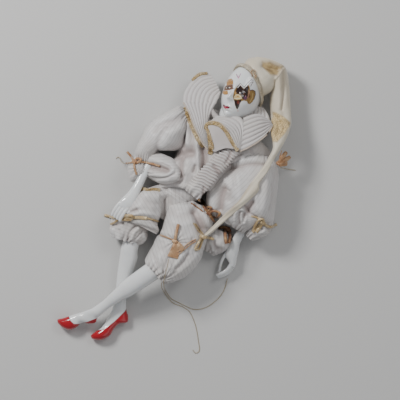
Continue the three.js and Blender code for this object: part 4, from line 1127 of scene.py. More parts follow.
leftTrousers = {
    "thigh": {
        "rows": [
            [12, 13, 56, 15, 0, 38], [4, -2, 66, 2, -2, 53], [1, -14, 69, -16, -4, 59], [5, -32, 73, -34, -4, 63],
            [8.5, -47, 76, -50, -4, 64], [7, -56, 76, -60, -4, 64], [8, -68, 75, -70, -3, 63], [8, -80, 70, -84, 2, 62],
            [9, -90, 61, -96, 10, 61], [13, -95, 50, -107, 22, 58]],
        "power": 2.4, "stripes": "around", "pitch": 4.8, "slant": -12, "soft": 0.9, "creases": 0.6,
        "gathers": [(0.0, 0.08, 0.5, 20), (1.0, 0.12, 1.3, 17)], "tucks": (None, 7),
        "folds": [
            [-8.0, 6.5, 2, [[196, 211], [200, 219], [203.5, 229]]],
            [2.6, 2.6, 2, [[193, 205.5], [200, 209.5], [206, 217], [209.5, 226]]],
            [-1.8, 1.3, 1.5, [[160, 235], [167, 237.4], [173, 239.6], [180, 242], [188, 243]]],
            [1.4, 2.6, 2, [[161, 231.5], [170, 234], [178, 237]]],
            [1.2, 2.8, 2, [[160, 239], [168, 242]]],
            [-2.4, 2.2, 1.7, [[188, 255], [183, 261.5], [176, 268]]],
            [2.2, 3.2, 2, [[182, 256], [178, 262], [172, 268]]],
            [2.0, 3.6, 2, [[198, 254], [190, 263], [180, 271]]],
            [-1.8, 1.8, 1.7, [[169, 257], [166, 264], [163.5, 272]]],
            [1.4, 2.4, 2, [[160, 258], [160, 267], [161, 274]]],
            [-1.5, 2.0, 1.7, [[153, 254], [157, 262], [160, 270]]],
            [-1.2, 3.2, 2, [[171, 212], [180, 215], [189, 214]]],
            [1.4, 5.0, 2, [[172, 221], [182, 225], [190, 222]]],
            [1.2, 2.2, 2, [[168.5, 207], [178, 205.5], [189, 206]]],
            [-1.1, 2.4, 2, [[193, 238], [190, 248], [189, 256]]],
        ],
        "fans": [[[175, 241], 1.0, 14, 15], [[163, 280], 1.5, 20, 20]],
    },
    "hip": {
        "rows": [
            [58, -3, 94, -3, 0, 22], [62, -12, 101, -12, -2, 28], [64, -26, 100, -26, -2, 30], [72, -38, 90, -39, 0, 18]],
        "stripes": "around", "pitch": 4.6, "slant": -30, "soft": 0.6, "size": 14, "creases": 0.8,
        "gathers": [(0.0, 0.4, 0.7, 11), (1.0, 0.3, 0.9, 13)],
        "folds": [
            [-3.2, 4.0, 2, [[213, 243], [216, 249], [221, 250]]], [1.8, 2.0, 2, [[211, 239], [211.5, 247], [215, 253]]],
            [1.4, 1.8, 2, [[212, 234], [218, 237]]], [-1.6, 1.4, 1.6, [[209, 246], [211, 252]]],
        ],
    },
}
puffPiece("rightTrouserLeg", "striped_satin", "right_trouser_leg",
          [(rightTrousers["thigh"], 140, 240), (rightTrousers["cuff"], 90, 220), (rightTrousers["seat"], 110, 130)])
puffPiece("leftTrouserLeg", "striped_satin", "left_trouser_leg",
          [(leftTrousers["thigh"], 190, 250), (leftTrousers["hip"], 80, 120)])
print("trousers made")

# ---- tunic and its front panel
tunic = {
    "body": {
        "rows": [
            [-23.5, 7, 38, 34, 0, 46, 0, 5], [-27, 13, 44, 36, -2, 53, 0, 3], [-29, 28, 46, 42, -4, 57, 0, 0],
            [-28, 55, 46, 58, -4, 59, 0, 0], [-33, 85, 54, 85, -4, 58, 0, 0], [-44, 104, 78, 106, -3, 53, 0, 0],
            [-49, 119, 91, 120, 0, 46, 0, 0], [-34, 131, 78, 131, 4, 41, 0, 0], [-10, 141, 34, 140, 12, 36, 0, 0]],
        "power": 2.7, "stripes": "along", "pitch": 4.8, "soft": 0.9, "creases": 0.45, "size": 28,
        "gathers": [(1.0, 0.10, 0.7, 26)],
        "folds": [
            [4.0, 3.2, 2, [[196.5, 143], [197.4, 156], [198.6, 168], [197, 176]]],
            [-8.5, 4.6, 2, [[203, 148], [204.6, 157], [203, 168]]],
            [-4.0, 2.2, 1.8, [[195.4, 166], [193.6, 172]]],
            [-9.0, 7.0, 2, [[168, 155], [179, 153], [191, 152.5]]],
            [-5.5, 4.0, 2, [[181, 158], [180.4, 168], [180, 176]]],
            [2.4, 3.0, 2, [[187, 123], [186.8, 134], [187, 144]]],
            [-4.0, 3.0, 2, [[184, 122], [184, 136], [182, 146]]],
            [-2.6, 3.0, 2, [[190.5, 128], [191.5, 138], [192, 146]]],
            [1.6, 6.0, 2, [[188, 160], [188, 172]]],
            [4.2, 2.8, 2, [[160.5, 186], [170, 186.4], [178, 186.6], [187, 185.4]]],
            [-2.6, 2.4, 2, [[164, 182.6], [172, 183.4], [181, 181.6], [184, 176]]],
            [1.6, 2.4, 2, [[184, 184], [186, 177], [185, 170]]],
            [-2.4, 1.8, 1.6, [[241, 154], [232, 160], [226, 166]]],
            [-3.6, 2.2, 1.5, [[222, 167.5], [231, 166], [240, 164], [250, 162.5], [264, 163.4]]],
            [1.6, 3.6, 2, [[244, 157], [252, 155], [260, 157]]],
            [-1.4, 2.2, 1.8, [[251, 150], [253, 157]]],
        ],
    },
    "panel": {
        "rows": [
            [30, 108, 50, 104, 48, 57], [24, 92, 46, 92, 52, 62.5], [18, 74, 43, 74, 54, 65.5], [13, 56, 40, 54, 54, 66],
            [9.5, 40, 36.5, 37, 53, 65.5], [8, 29, 34, 26, 50, 64], [10, 21.5, 31, 18.5, 48, 60]],
        "pitch": 4.3, "rib": 0.95,
    },
}
puffPiece("tunic", "striped_satin", "tunic", [(tunic["body"], 200, 300)], finish="tunic")

shape = tunic["panel"]
smooth = loft(shape["rows"], 380, 130, 2.5)
px, py = onPhoto(smooth[..., 0], smooth[..., 1])
ribs = np.clip((smooth[..., 1] - 27) / 12, 0.12, 1) * np.clip((112 - smooth[..., 1]) / 20, 0.35, 1)
wander = 1.4 * np.sin(smooth[..., 0] * 0.13 + 0.5) + 0.5 * np.sin(smooth[..., 0] * 0.37 + smooth[..., 1] * 0.05)
cord = np.cos((smooth[..., 1] + wander) * 2 * np.pi / shape["pitch"])
rise = shape["rib"] * ribs * (cord - 0.3 * cord ** 2)
edge = np.linspace(0, 2 * np.pi, 130, endpoint=False)[None, :]
rise = rise + 1.3 * np.clip((30 - smooth[..., 1]) / 10, 0, 1) * np.cos(edge * 10 + 0.6 * np.sin(edge * 3))
rise = rise + 1.0 * waves(smooth, 33, 20) + folded(smooth[..., 0], smooth[..., 1], [
    [-2.4, 3.0, 2, [[214, 166], [218, 172], [222, 178]]], [-1.8, 2.4, 2, [[231, 152], [229, 158], [226, 163]]],
    [1.6, 4.0, 2, [[197, 184], [192, 189]]], [-1.6, 2.4, 2, [[204, 188], [203, 197]]]])
grid = smooth + facing(smooth) * rise[..., None]
keepHeight(grid)
# painted shade: darker in the grooves between the ribs
piece = Mesh().grid(grid, uv=(np.linspace(0, 12, 131), np.linspace(0, 90, 380)),
                    marks={"hollow": np.clip(0.1 - rise * 0.5, 0, 1)}).make("frontPanel", finishes["ribbed"])
ridesFor(piece, "ribbed_satin", "front_panel")
print("tunic made")

# ---- collar: corded sheets between an inner, a middle and an outer route, read off the photograph
collar = {
    "thickness": 1.4, "rib": 0.95,
    "panels": {
        "behind": {
            "inner": [[247, 119, 42], [250, 112, 37], [254, 106, 30]],
            "middle": [[258, 121, 43], [259.5, 113, 38], [259, 106.5, 31]],
            "outer": [[270, 123.5, 40], [269, 116, 34], [264, 108.5, 28]], "ribs": 5, "flat": (0.030, 0.028),
        },
        "standing": {
            "inner": [[216, 104, 48], [217, 101, 46.5], [218.5, 98.5, 44], [219.5, 96, 41], [220.4, 93.4, 38]],
            "middle": [[199, 104, 48], [200, 97.5, 43], [203.5, 91, 38], [209, 85.5, 34], [216, 83, 31]],
            "outer": [[183, 103, 42], [183.6, 94, 33], [188.5, 84.5, 27], [198, 74.6, 23], [209.5, 72.4, 22]],
            "ribs": 8, "flat": (0.052, 0.050),
        },
        "right": {
            "inner": [[216, 103, 48], [211.5, 111, 51], [208, 121, 56], [207.3, 133, 60], [208.8, 147, 62.5]],
            "middle": [[199, 103, 47.5], [200.5, 113, 50.5], [202, 125, 56], [204.5, 137, 60.5], [208.4, 148.6, 62.5]],
            "outer": [[183.4, 102.6, 42], [188.5, 112, 48], [193, 124, 55], [198.5, 136, 60], [207.8, 150, 62.5]],
            "ribs": 8, "flat": (0.036, 0.080),
        },
        "front": {
            "inner": [[216, 117, 49.5], [226, 116, 50], [236, 115.5, 50.5], [243.4, 121, 53.5], [243, 134, 58.5], [240.4, 149, 62.5]],
            "middle": [[211, 121.6, 56], [220, 121.4, 57.5], [229, 124.6, 59.5], [236.4, 132, 61], [240, 149.6, 63.4]],
            "outer": [[206, 126.6, 61.5], [212.5, 122.8, 62.5], [221, 125.6, 64.5], [228.4, 134.5, 64.5], [238.4, 151, 64]],
            "ribs": 6, "flat": (0.030, 0.078),
        },
        "lining": {
            "inner": [[206.5, 127, 62.5], [213, 124, 63.5], [222, 127.6, 64], [236.5, 149.6, 63]],
            "middle": [[209, 135, 63], [215, 135, 64.4], [222, 138, 64.2], [229, 148.6, 63.6]],
            "outer": [[210, 147, 62.5], [214, 152, 62.6], [219, 150.5, 64], [225, 148.4, 64.4]],
            "ribs": 0, "flat": (0.030, 0.042),
        },
        "left": {
            "inner": [[243.2, 118, 52.5], [251, 115, 50.5], [258, 114, 48], [264, 117, 46], [270, 121.6, 44]],
            "middle": [[242.6, 134, 59], [252, 130.4, 58], [260, 126.4, 54], [266, 124.6, 49], [271.6, 123.6, 44.5]],
            "outer": [[239.6, 151.4, 62.8], [247, 148.4, 62.8], [255, 143.7, 60.6], [264, 136.8, 54.5], [272.6, 125.6, 45]],
            "ribs": 7, "flat": (0.032, 0.060),
        },
    },
    "band": [[-26, 143, 46, 3.8], [-10, 133, 47, 3.8], [6, 131, 46, 3.8], [20, 146, 44, 3.8], [34, 153, 43, 3.8]],
}


def panelPoint(panel, u, v):
    # a parabola through the three routes: (1-v)(1-2v) inner + 4v(1-v) middle + v(2v-1) outer
    a, b, c = (curve(seen(panel[key]), len(u))[:, None, :] for key in ("inner", "middle", "outer"))
    v = v[None, :, None]
    return a * (1 - v) * (1 - 2 * v) + b * 4 * v * (1 - v) + c * v * (2 * v - 1)


def panelSheet(panel, seed, rows=150):
    # two faces of cloth, their cords as |sin| along the sheet, joined round the edge
    columns = max(14 * panel["ribs"], 44) + 1
    u, v = np.linspace(0, 1, rows), np.linspace(0, 1, columns)
    middle = panelPoint(panel, u, v)
    normal = facing(middle, wrap=False)
    if normal[..., 2].mean() < 0:
        normal = -normal
    wander = v[None, :] + 0.012 * np.sin(u[:, None] * 9 + seed) * np.sin(np.pi * v[None, :])
    cord = np.abs(np.sin(wander * np.pi * panel["ribs"])) ** 0.8 if panel["ribs"] else np.full((rows, columns), 0.5)
    soft = 0.9 * waves(middle, seed, 24, 5) + 0.35 * waves(middle, seed + 1, 7, 5)
    rise = soft + collar["rib"] * (2 * cord - 1) * (1 if panel["ribs"] else 0)
    half = collar["thickness"] / 2
    upper, lower = middle + normal * (rise + half)[..., None], middle + normal * (rise * 0.8 - half)[..., None]
    keepHeight(upper)
    ring = np.concatenate([upper, lower[:, ::-1]], axis=1)
    ends = [ring[0] * 0.5 + ring[0][::-1] * 0.5, ring[-1] * 0.5 + ring[-1][::-1] * 0.5]
    ring = np.concatenate([ends[0][None], ring, ends[1][None]])
    # painted shade: darker in the grooves between the cords, and evenly darker on the plain lining panel
    hollow = np.clip(0.75 - cord * 1.3, 0, 0.75) if panel["ribs"] else np.full((rows, columns), 0.35)
    hollow = np.concatenate([hollow, hollow[:, ::-1]], axis=1)
    return ring, np.concatenate([hollow[:1], hollow, hollow[-1:]])


for n, (key, shape) in enumerate(collar["panels"].items()):
    ring, hollow = panelSheet(shape, 41 + 3 * n)
    sheet = Mesh().grid(ring, uv=(np.linspace(0, 40, ring.shape[1] + 1), np.linspace(0, 60, ring.shape[0])),
                        marks={"hollow": hollow})
    piece = sheet.make("collar" + key.capitalize(), finishes["plain" if key == "lining" else "ribbed"])
    ridesFor(piece, "striped_satin", "collar")
band = rod(collar["band"], 80, 40)
# painted shade: the neck band, under the collar, evenly darkened
piece = Mesh().grid(band, marks={"hollow": np.full(band.shape[:2], 0.4)}).make("neckband", finishes["ribbed"])
ridesFor(piece, "striped_satin", "collar")
print("collar made")

# ---- cap
cap = {
    "brim": [[-17.5, 206.5, 35], [38.5, 179, 35], [16.5, 206.5, 65]], "cloth": 2.2, "laceWidth": 5,
    "tail": [
        [-6, 206, 38, 190, 4, 56], [-8, 221, 45, 202, 1, 58], [-1, 231, 46, 211, 2, 54], [20, 240, 45, 213, 4, 50],
        [44, 241, 44, 206, 6, 48],
        [62, 221, 49, 190, 9, 44], [79, 196, 59, 174, 15, 43], [92, 175, 66, 162, 24, 46],
        [95.5, 155, 73, 150, 38, 56], [95.5, 136, 85, 135, 48, 61], [95, 120, 87, 119, 53, 63],
        [96, 100, 86, 100, 57, 66], [94, 82, 84, 81, 60, 68], [98, 71, 83, 70, 61, 69],
        [92, 50, 82, 49, 60, 67], [88, 38, 79, 37, 57, 64], [82, 20, 73, 19, 50, 57],
        [75, 0, 68, -1, 52, 58], [70, -14, 64.5, -15, 57, 62], [66, -21, 62, -22, 60, 63],
    ],
    "pocket": [[262, 61], [270, 61.5], [282.4, 66.6], [277, 76], [270, 75], [265.5, 70], [262.5, 65]],
    "laceLining": [[272.5, 112], [277, 113], [284, 117], [290.4, 123], [285, 133], [276.5, 142.5], [268, 140.5], [270.5, 128]],
    "tailFolds": [
        [-1.9, 1.7, 1.5, [[283, 68], [284.4, 80], [284.4, 95], [282, 110]]],
        [1.3, 2.6, 2, [[279, 76], [279.5, 92], [279, 108]]],
        [1.7, 1.5, 2, [[284.4, 68], [279, 74], [275.5, 79]]],
        [1.8, 1.8, 2, [[257, 57.6], [270, 60.2], [283, 66.2]]],
        [-5.5, 5.0, 2, [[264, 65.4], [270, 67.6], [277, 69.6]]],
        [-2.8, 3.6, 2, [[274, 116], [279, 124], [277, 134]]],
        [1.5, 1.6, 2, [[281, 119.5], [286, 123], [289, 128]]],
        [-2.0, 1.6, 1.6, [[280.5, 122], [284, 126.5], [283, 131]]],
    ],
    "domeFolds": [
        [2.6, 2.6, 2, [[255, 59.6], [259.6, 65], [263.5, 72], [266.4, 79], [267.5, 86], [266.4, 92]]],
        [-2.6, 2.6, 2, [[262.4, 63], [267, 72], [270, 80], [270, 87]]],
        [2.0, 3.6, 2, [[271.5, 78], [272, 84], [269.4, 90]]],
        [-1.6, 1.6, 1.7, [[254.6, 62], [258.6, 70], [261.6, 79], [262.6, 88], [262, 97]]],
        [1.4, 1.6, 2, [[252, 62.6], [256.6, 70.6], [259.4, 79], [260.6, 88], [260.6, 98]]],
        [-1.4, 1.4, 1.7, [[249, 63.4], [254, 69.6], [257.6, 77], [259, 86]]],
        [1.3, 2.0, 2, [[240, 64.6], [247, 65.6], [252, 69]]],
        [-1.2, 1.6, 1.7, [[236, 67.4], [243, 66.6], [249, 69.4]]],
    ],
}


def behindBrim(points):
    # distance behind the plane of the brim, positive towards the crown
    a, b, c = (np.array(p, float) for p in cap["brim"])
    normal = np.cross(b - a, c - a)
    normal /= np.linalg.norm(normal)
    if normal[1] < 0:
        normal = -normal
    return (points - a) @ normal


def domeStrip(swell, start, end, rings, columns):
    # part of the head's own form, swollen, between two planes behind the brim:
    # each line from the crown's pole to the chin is cut where it meets the planes
    fine = headGrid(columns, 400, swell)[:340]
    depth = behindBrim(fine)
    rows = np.arange(len(fine))
    first = np.where((depth < end).any(axis=0), np.argmax(depth < end, axis=0), 0)
    last = np.where((depth < start).any(axis=0), np.argmax(depth < start, axis=0), len(rows) - 1)
    want = first[None, :] + np.linspace(0, 1, rings)[:, None] * (last - first)[None, :]
    low = np.clip(np.floor(want).astype(int), 0, len(rows) - 2)
    part = (want - low)[..., None]
    column = np.arange(columns)[None, :]
    return fine[low, column] * (1 - part) + fine[low + 1, column] * part


tail = loft(cap["tail"], 380, 160, 2.3)
normal = facing(tail)
share = np.linspace(0, 1, 380)[:, None]
angle = np.linspace(0, 2 * np.pi, 160, endpoint=False)[None, :]
top = np.clip(normal[..., 2] * 3, 0, 1)
slack = np.clip(1 - share * 1.25, 0.12, 1)
rise = slack * (1.7 * waves(tail, 51, 24) + 0.9 * waves(tail, 52, 9, 7, 2.4)) + 0.45 * (1 - slack) * np.cos(4 * angle + share * 26)
x, y = tail[..., 0], tail[..., 1]
px, py = onPhoto(x, y)
rise = rise + top * folded(x, y, cap["tailFolds"])
# the brown lining colour in the pocket inside the crown's fold is partly lining and partly painted shade; the lace
# lining patch is the lining's own colour
lining = top * np.clip(within(px, py, cap["pocket"], 1.2) + within(px, py, cap["laceLining"], 0.8), 0, 1)
# painted shade: a darker line along the seam's crease on top of the tail
seamShade = top * np.clip(1 - np.abs(px - 282.5 + 0.02 * (py - 90)) / 3.2, 0, 1) * (py < 118) * (py > 68)
# painted shade: one side of the tail's lower length darker
tailSideShade = np.clip((share - 0.60) * 14, 0, 1) * np.clip(0.5 + np.cos(angle * 1.0 + 0.6) * 1.4, 0, 1) * 0.65
grid = tail + normal * rise[..., None]
grid[..., 2] = np.maximum(grid[..., 2], 0.3)
keepHeight(grid)
lace_ = within(px, py, cap["laceLining"], 0.8) * top
dome = domeStrip(cap["cloth"], 0.0, 60.0, 110, 260)
normal = facing(dome)
rise = 0.7 * waves(dome, 53, 12) + 0.5 * waves(dome, 54, 5, 7, 2.4)
rise = rise + np.clip(normal[..., 2] * 3, 0, 1) * folded(dome[..., 0], dome[..., 1], cap["domeFolds"])
dome = dome + normal * rise[..., None]
keepHeight(dome)
px, py = onPhoto(dome[..., 0], dome[..., 1])
bandShade = 0.6 * np.clip(1 - np.abs(behindBrim(dome) - 8) / 9, 0, 1)
hood = Mesh()
hood.grid(grid, uv=(np.linspace(0, 30, 161), np.linspace(0, 330, 380)),
          marks={"lining": lining, "shade": np.clip(seamShade * 0.6 + tailSideShade, 0, 1), "beads": lace_})
hood.grid(dome, uv=(np.linspace(0, 40, 261), np.linspace(0, 60, 110)),
          marks={"lining": np.zeros(dome.shape[:2]), "shade": bandShade, "beads": np.zeros(dome.shape[:2])})
piece = hood.make("cap", finishes["cap"])
ridesFor(piece, "cream_satin", "cap")
print("cap made")


# ---- laces and pipings
def strip(route, wide, thick, sides=24, ruffle=0.0, power=3.0):
    # a flat braid along a path, its edges scalloped
    gone = np.concatenate([[0], np.cumsum(np.linalg.norm(np.diff(route, axis=0), axis=1))])
    breadth = np.interp(np.linspace(0, 1, len(route)), np.linspace(0, 1, np.size(wide)), np.ravel(wide))
    scallop = breadth / 2 * (1 + ruffle * np.abs(np.sin(gone * np.pi / 3.2)))
    return sweep(route, scallop, thick / 2, sides, power), gone


laces = {
    "collarLace": [
        ([[205.4, 129], [206.6, 125.2], [211.5, 123.4], [217.5, 124.6], [222.4, 127.8], [226.2, 132.4], [229.6, 138.4],
          [233.2, 145], [237.6, 151]], [4.2, 5.2, 5.0, 4.2]),
        ([[206, 127], [208.4, 134], [210, 141], [211.2, 148], [209.6, 154.4]], [3.4, 4.6, 6.8, 6.0]),
        ([[184.6, 107], [187.4, 115], [190.8, 124], [194.6, 133], [198.4, 141], [203, 147]], [4.4, 5.2, 4.2]),
        ([[192, 80], [196.5, 75.8], [201.5, 73.2], [207.5, 72.8]], [3.2, 4.6, 3.0]),
    ],
    "beltLace": [([[139.5, 190.5], [143.5, 189], [148, 189.8], [154, 189.2], [160, 190]], [4.4, 3.4, 4.4])],
}
for name, strips in laces.items():
    lacePiece = Mesh()
    for route, wide in strips:
        grid, gone = strip(landed(route, 0.7, 240, calm=9, least=30 if name == "beltLace" else 0), wide, 1.8, ruffle=0.22)
        rough = 1.5 * waves(grid, 61, 2.4, 9, 1.2) + 0.5 * waves(grid, 63, 6, 5)
        lacePiece.grid(grid + facing(grid) * rough[..., None], uv=(np.linspace(0, 1, 25), gone))
    piece = lacePiece.make(name, finishes["lace"])
    ridesFor(piece, "gold_lace")

brim = domeStrip(cap["cloth"] + 1.4, -0.8, cap["laceWidth"], 60, 460)
across = np.linspace(0, 1, 60)[:, None]
rise = 1.5 * waves(brim, 62, 2.4, 9, 1.2) + 1.0 * waves(brim, 64, 8, 5) + 0.8 * np.sin(np.pi * across) ** 0.5
brim = brim + facing(brim) * rise[..., None]
inner = domeStrip(cap["cloth"] * 0.4, -0.8, cap["laceWidth"], 4, 460)[::-1]
brim = np.concatenate([brim, inner, brim[:1]])
piece = Mesh().grid(brim, caps=(False, False)).make("capLace", finishes["capLace"])
ridesFor(piece, "gold_lace", "cap_lace")
keepHeight(brim)

trims = {
    "collarPiping": ("piping", 1.9, [
        [[183.2, 102.6], [188.6, 112], [193, 124], [198.4, 135.6], [203.2, 144.6], [208.6, 150.6]],
        [[239.4, 151.8], [247, 148.6], [255, 143.9], [263.4, 137.8], [268.6, 132.4], [272.4, 126]],
        [[206.8, 123.8], [210, 121.8], [215, 121.6], [220, 123.4], [224.6, 127.2], [228.6, 132.6]]]),
    "capTrim": ("copper", 1.1, [
        [[250.4, 78.4], [251.8, 75.4], [250.6, 72.6], [253.2, 70.2], [255.4, 72.2], [254, 74.6], [256, 76.4], [254.6, 78.8]]]),
}
for name, (finish, wide, routes) in trims.items():
    mesh = Mesh()
    for route in routes:
        grid, gone = strip(landed(route, 0.3, 160, calm=7), wide, wide, sides=14, power=2)
        mesh.grid(grid, uv=(np.linspace(0, 1, 15), gone))
    if name == "capTrim":
        x, y, z = landed([[254.6, 77.6], [254.7, 77.7]], 0.8, 2)[0]
        mesh.grid(rod([[x - 0.9, y, z, 0.3], [x - 0.6, y, z, 0.8], [x + 0.6, y, z, 0.8], [x + 0.9, y, z, 0.3]], 12, 16))
    piece = mesh.make(name, finishes[finish])
    ridesFor(piece, "gold_lace" if name == "capTrim" else "striped_satin")
print("laces made")

# ---- bows of tubular ribbon: each strand is its width, its thickness, its lift and its route
bows = {
    "rightCuffBow": ("right_cuff_bow", "copper", [
        [3.4, 3.0, [1, 1.4, 1.0, 0.5], [[134.5, 162], [132.6, 159], [129.6, 155], [126.4, 151.3]]],
        [3.0, 2.0, [0.6, 0.4, 0.2, 0], [[134, 162], [144, 162.2], [153, 164], [160, 166.2]]],
        [2.2, 1.6, [1, 0.6], [[134.4, 162], [130, 162.8], [125, 162.8]]],
        [3.6, 2.4, [1, 1.8, 1.6, 0.6], [[134, 162], [137, 158.6], [141, 159.4], [138, 162.4], [134.5, 162.6]]],
        [3.0, 2.2, [0.8, 0.8, 0.2], [[134, 162.6], [134.6, 168], [136.6, 174.6]]],
        [5.0, 4.4, [1.2, 1.6, 1.2], [[132.4, 161.6], [134.2, 162.2], [136, 162.8]]]]),
    "rightKneeBow": ("right_knee_bow", "gold", [
        [4.0, 3.0, [1, 1.4, 1.0], [[119, 218], [112, 217.2], [103.6, 215.4]]],
        [3.6, 2.6, [1, 2.6, 2.4], [[119, 217.6], [118, 212], [117.6, 206.8]]],
        [3.0, 2.2, [1, 2.2, 1.4], [[119.6, 217], [120.6, 211], [121.4, 207.4]]],
        [5.4, 2.2, [1, 1.2, 0.8, 0.4], [[119.6, 218], [128, 217.4], [138, 217.2], [147, 218.2]]],
        [4.2, 3.0, [1.2, 2.2, 1.8, 0.8], [[120, 218.6], [126, 215.6], [132.4, 216], [130.4, 219.4], [122, 219.4]]],
        [2.4, 1.8, [0.2, 0.2], [[147, 218.2], [153, 219.6], [159, 221.8]]],
        [3.0, 2.2, [1, 0.8], [[118.6, 219], [114, 222.6], [110.4, 224.2]]],
        [5.2, 4.6, [1.4, 1.9, 1.4], [[117, 218], [119.2, 218.2], [121.4, 218.4]]]]),
    "leftKneeBow": ("left_knee_bow", "copper", [
        [4.4, 3.6, [1.4, 1.6, 2.4, 2.8], [[175, 241], [176, 235], [177.2, 229], [178.6, 224]]],
        [[5, 9, 13.5, 16.5], 1.6, [1.4, 1.6, 1.0, 0.8], [[175.2, 241], [175.4, 246], [174.4, 252], [173, 257.2]]],
        [[4, 7, 8, 6], 1.8, [1.6, 1.6, 1.0], [[176, 241.6], [179.6, 245.4], [182.6, 250]]],
        [1.6, 1.6, [0.7, 0.7], [[176.4, 256], [183, 250.4], [190, 244.6], [196, 240.8]]],
        [1.6, 1.6, [0.7, 0.7], [[175.2, 253.6], [182, 248.4], [189, 242.6], [196, 238.8]]],
        [1.9, 1.4, [0.3, 0.3], [[160, 234.8], [167, 237.2], [173, 239.6]]],
        [5.4, 4.8, [2, 2.6, 2], [[173, 240.4], [175, 241.2], [177, 242]]]]),
    "capTipBow": ("cap_tip_bow", "gold", [
        [4.0, 3.2, [2.2, 2.6, 2.0], [[203, 236.4], [208, 237.6], [213.6, 239.2]]],
        [3.6, 3.0, [2.2, 1.6, 0.8], [[202.4, 237], [198.6, 242.4], [195, 249]]],
        [3.4, 2.8, [2.0, 1.6, 0.8, 1.0], [[203, 238], [201.4, 243], [199, 248.4], [195, 249.4]]],
        [1.7, 1.6, [1.8, 0.9, 0.7], [[202.6, 235.4], [197.6, 229.4], [193.4, 222.8]]],
        [1.7, 1.6, [1.8, 0.9, 0.7], [[203.6, 234.6], [199.4, 229], [195.4, 223.4]]],
        [5.6, 4.8, [2.4, 3.0, 2.4], [[201, 235.8], [203, 236.6], [205, 237.4]]]]),
    "waistBow": ("waist_bow", "rust", [
        [3.6, 2.6, [0.8, 1.6, 1.4], [[198.6, 199.6], [203.6, 206.6], [209, 213.6]]],
        [3.0, 2.2, [1.0, 1.8, 1.4], [[201.8, 199.4], [205.6, 205.6], [210, 212.8]]],
        [3.6, 2.8, [1.4, 2.6, 2.6, 1.4], [[209, 213.8], [213, 210.8], [219.4, 212.8], [217, 217.2], [211, 216.4]]],
        [3.6, 2.8, [1.4, 1.4, 1.0], [[209.4, 214.6], [211.8, 218.2], [214.4, 221.6]]],
        [3.2, 2.4, [1.4, 2.0, 1.2], [[208.4, 213], [211, 207.6], [206.6, 206.8]]],
        [2.0, 1.6, [0.4, 0.4], [[191, 203], [197, 207], [203, 211.6]]],
        [5.0, 4.2, [1.6, 2.2, 1.6], [[207.2, 212.4], [209, 213.8], [210.8, 215.2]]]]),
    "hipBow": ("hip_bow", "rust", [
        [4.6, 3.4, [1.4, 1.8, 1.4], [[225, 229.4], [225.4, 236], [226.4, 243.6]]],
        [4.6, 3.4, [1.4, 1.6, 1.2], [[229.6, 229.6], [230.2, 236], [229, 243]]],
        [4.0, 3.0, [1.4, 2.0, 1.4], [[218.6, 228.4], [224.4, 227.4], [230, 229.2]]],
        [4.6, 3.8, [1.6, 2.2, 1.6], [[225.6, 229.6], [227.4, 230.4], [229.4, 231.2]]]]),
    "leftCuffBow": ("left_cuff_bow", "gold", [
        [3.4, 2.8, [1.0, 2.0, 2.6, 2.4, 1.4], [[252.6, 231.4], [255.4, 225], [258.8, 219.8], [262.8, 219.4], [263.4, 223.2], [262, 224.8]]],
        [4.8, 2.6, [1.6, 1.6, 1.0], [[262.4, 222.6], [259.4, 227.4], [256.2, 232]]],
        [3.0, 2.2, [1.4, 1.2, 0.8], [[261.6, 223], [257, 226.4], [253.2, 232.4]]],
        [4.0, 3.4, [1.8, 1.4, 0.8, 0.2], [[263, 223.4], [268, 226.4], [272, 226.8], [277.4, 224.6]]],
        [2.6, 2.0, [0.8, 0.6], [[262, 222.6], [257.6, 218], [251, 216]]],
        [5.0, 4.4, [2.0, 2.6, 2.0], [[261, 222], [262.8, 223], [264.6, 224]]]]),
    "shoulderBow": ("shoulder_bow", "copper", [
        [[5, 7, 6.4, 4.6], 4.4, [32, 36, 36, 35], [[279, 163.4], [281.8, 158.4], [284.4, 154.8], [286.3, 152.2]]],
        [[5, 7, 6.4, 4.6], 4.4, [32, 35, 34, 33], [[280, 164.4], [284, 161], [287.4, 158.6], [290, 156.8]]],
        [[6, 8.6, 6.6], 4.6, [30, 32, 31], [[279.6, 164.6], [284, 163.4], [287, 163.6]]],
        [1.4, 1.4, [31, 34, 30], [[279.4, 162], [280, 156.4], [281.8, 150.6]]],
        [6.0, 5.4, [31, 32.5, 31], [[277.4, 162.6], [279.4, 163.8], [281.4, 165]]]]),
}
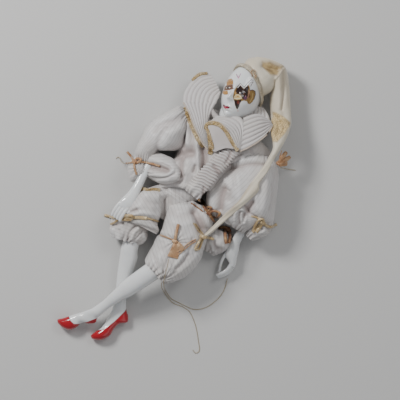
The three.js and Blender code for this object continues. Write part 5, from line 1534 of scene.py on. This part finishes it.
for name, (node, finish, strands) in bows.items():
    mesh = Mesh()
    for n, (wide, thick, lift, route) in enumerate(strands):
        path = landed(route, lift, 70, calm=6) if name != "shoulderBow" else \
            np.column_stack([curve(seen(route), 70), np.interp(np.linspace(0, 1, 70), np.linspace(0, 1, len(lift)), lift)])
        gone = np.concatenate([[0], np.cumsum(np.linalg.norm(np.diff(path, axis=0), axis=1))])
        breadth = np.interp(np.linspace(0, 1, 70), np.linspace(0, 1, np.size(wide)), np.ravel(wide))
        grid = sweep(path, breadth / 2, thick / 2, 26, 2.2)
        grid = grid + facing(grid) * (0.06 * np.minimum(breadth[:, None], 6) * waves(grid, 70 + n, 5, 6, 2.0) * 2)[..., None]
        grid[..., 2] = np.maximum(grid[..., 2], 0.3)
        mesh.grid(tuck(grid, 1.6, 1.6), uv=(np.linspace(0, 1, 27), np.concatenate([[0] * 5, gone, [gone[-1]] * 5])))
    piece = mesh.make(name, finishes[finish])
    ridesFor(piece, "copper_ribbon", node)
print("bows tied")

# ---- floor and light
floor = bpy.data.meshes.new("floor")
floor.from_pydata([(-4, -4, 0), (4, -4, 0), (4, 4, 0), (-4, 4, 0)], [], [(0, 1, 2, 3)])
ground = bpy.data.objects.new("floor", floor)
groundPaint = Paint("paleFloor", Specular_IOR_Level=0.2)
floor.materials.append(groundPaint.set(Base_Color=(0.60, 0.595, 0.58, 1), Roughness=0.85))
bpy.context.scene.collection.objects.link(ground)

lights = {
    "key": {"at": (-1.35, 0.35, 1.25), "size": 0.45, "power": 30},
    "top": {"at": (0.35, 1.3, 1.6), "size": 0.7, "power": 8},
    "fill": {"at": (1.3, -0.5, 1.3), "size": 1.4, "power": 4},
}
for name, light in lights.items():
    lamp = bpy.data.lights.new(name, "AREA")
    lamp.size, lamp.energy = light["size"], light["power"]
    holder = bpy.data.objects.new(name, lamp)
    holder.location = light["at"]
    away = -np.array(light["at"])
    holder.rotation_euler = (math.atan2(math.hypot(away[0], away[1]), -away[2]), 0,
                             math.atan2(away[1], away[0]) - math.pi / 2)
    bpy.context.scene.collection.objects.link(holder)
world = bpy.data.worlds.new("studio")
world.use_nodes = True
world.node_tree.nodes["Background"].inputs["Color"].default_value = (0.93, 0.95, 1.0, 1)
world.node_tree.nodes["Background"].inputs["Strength"].default_value = 0.28
bpy.context.scene.world = world
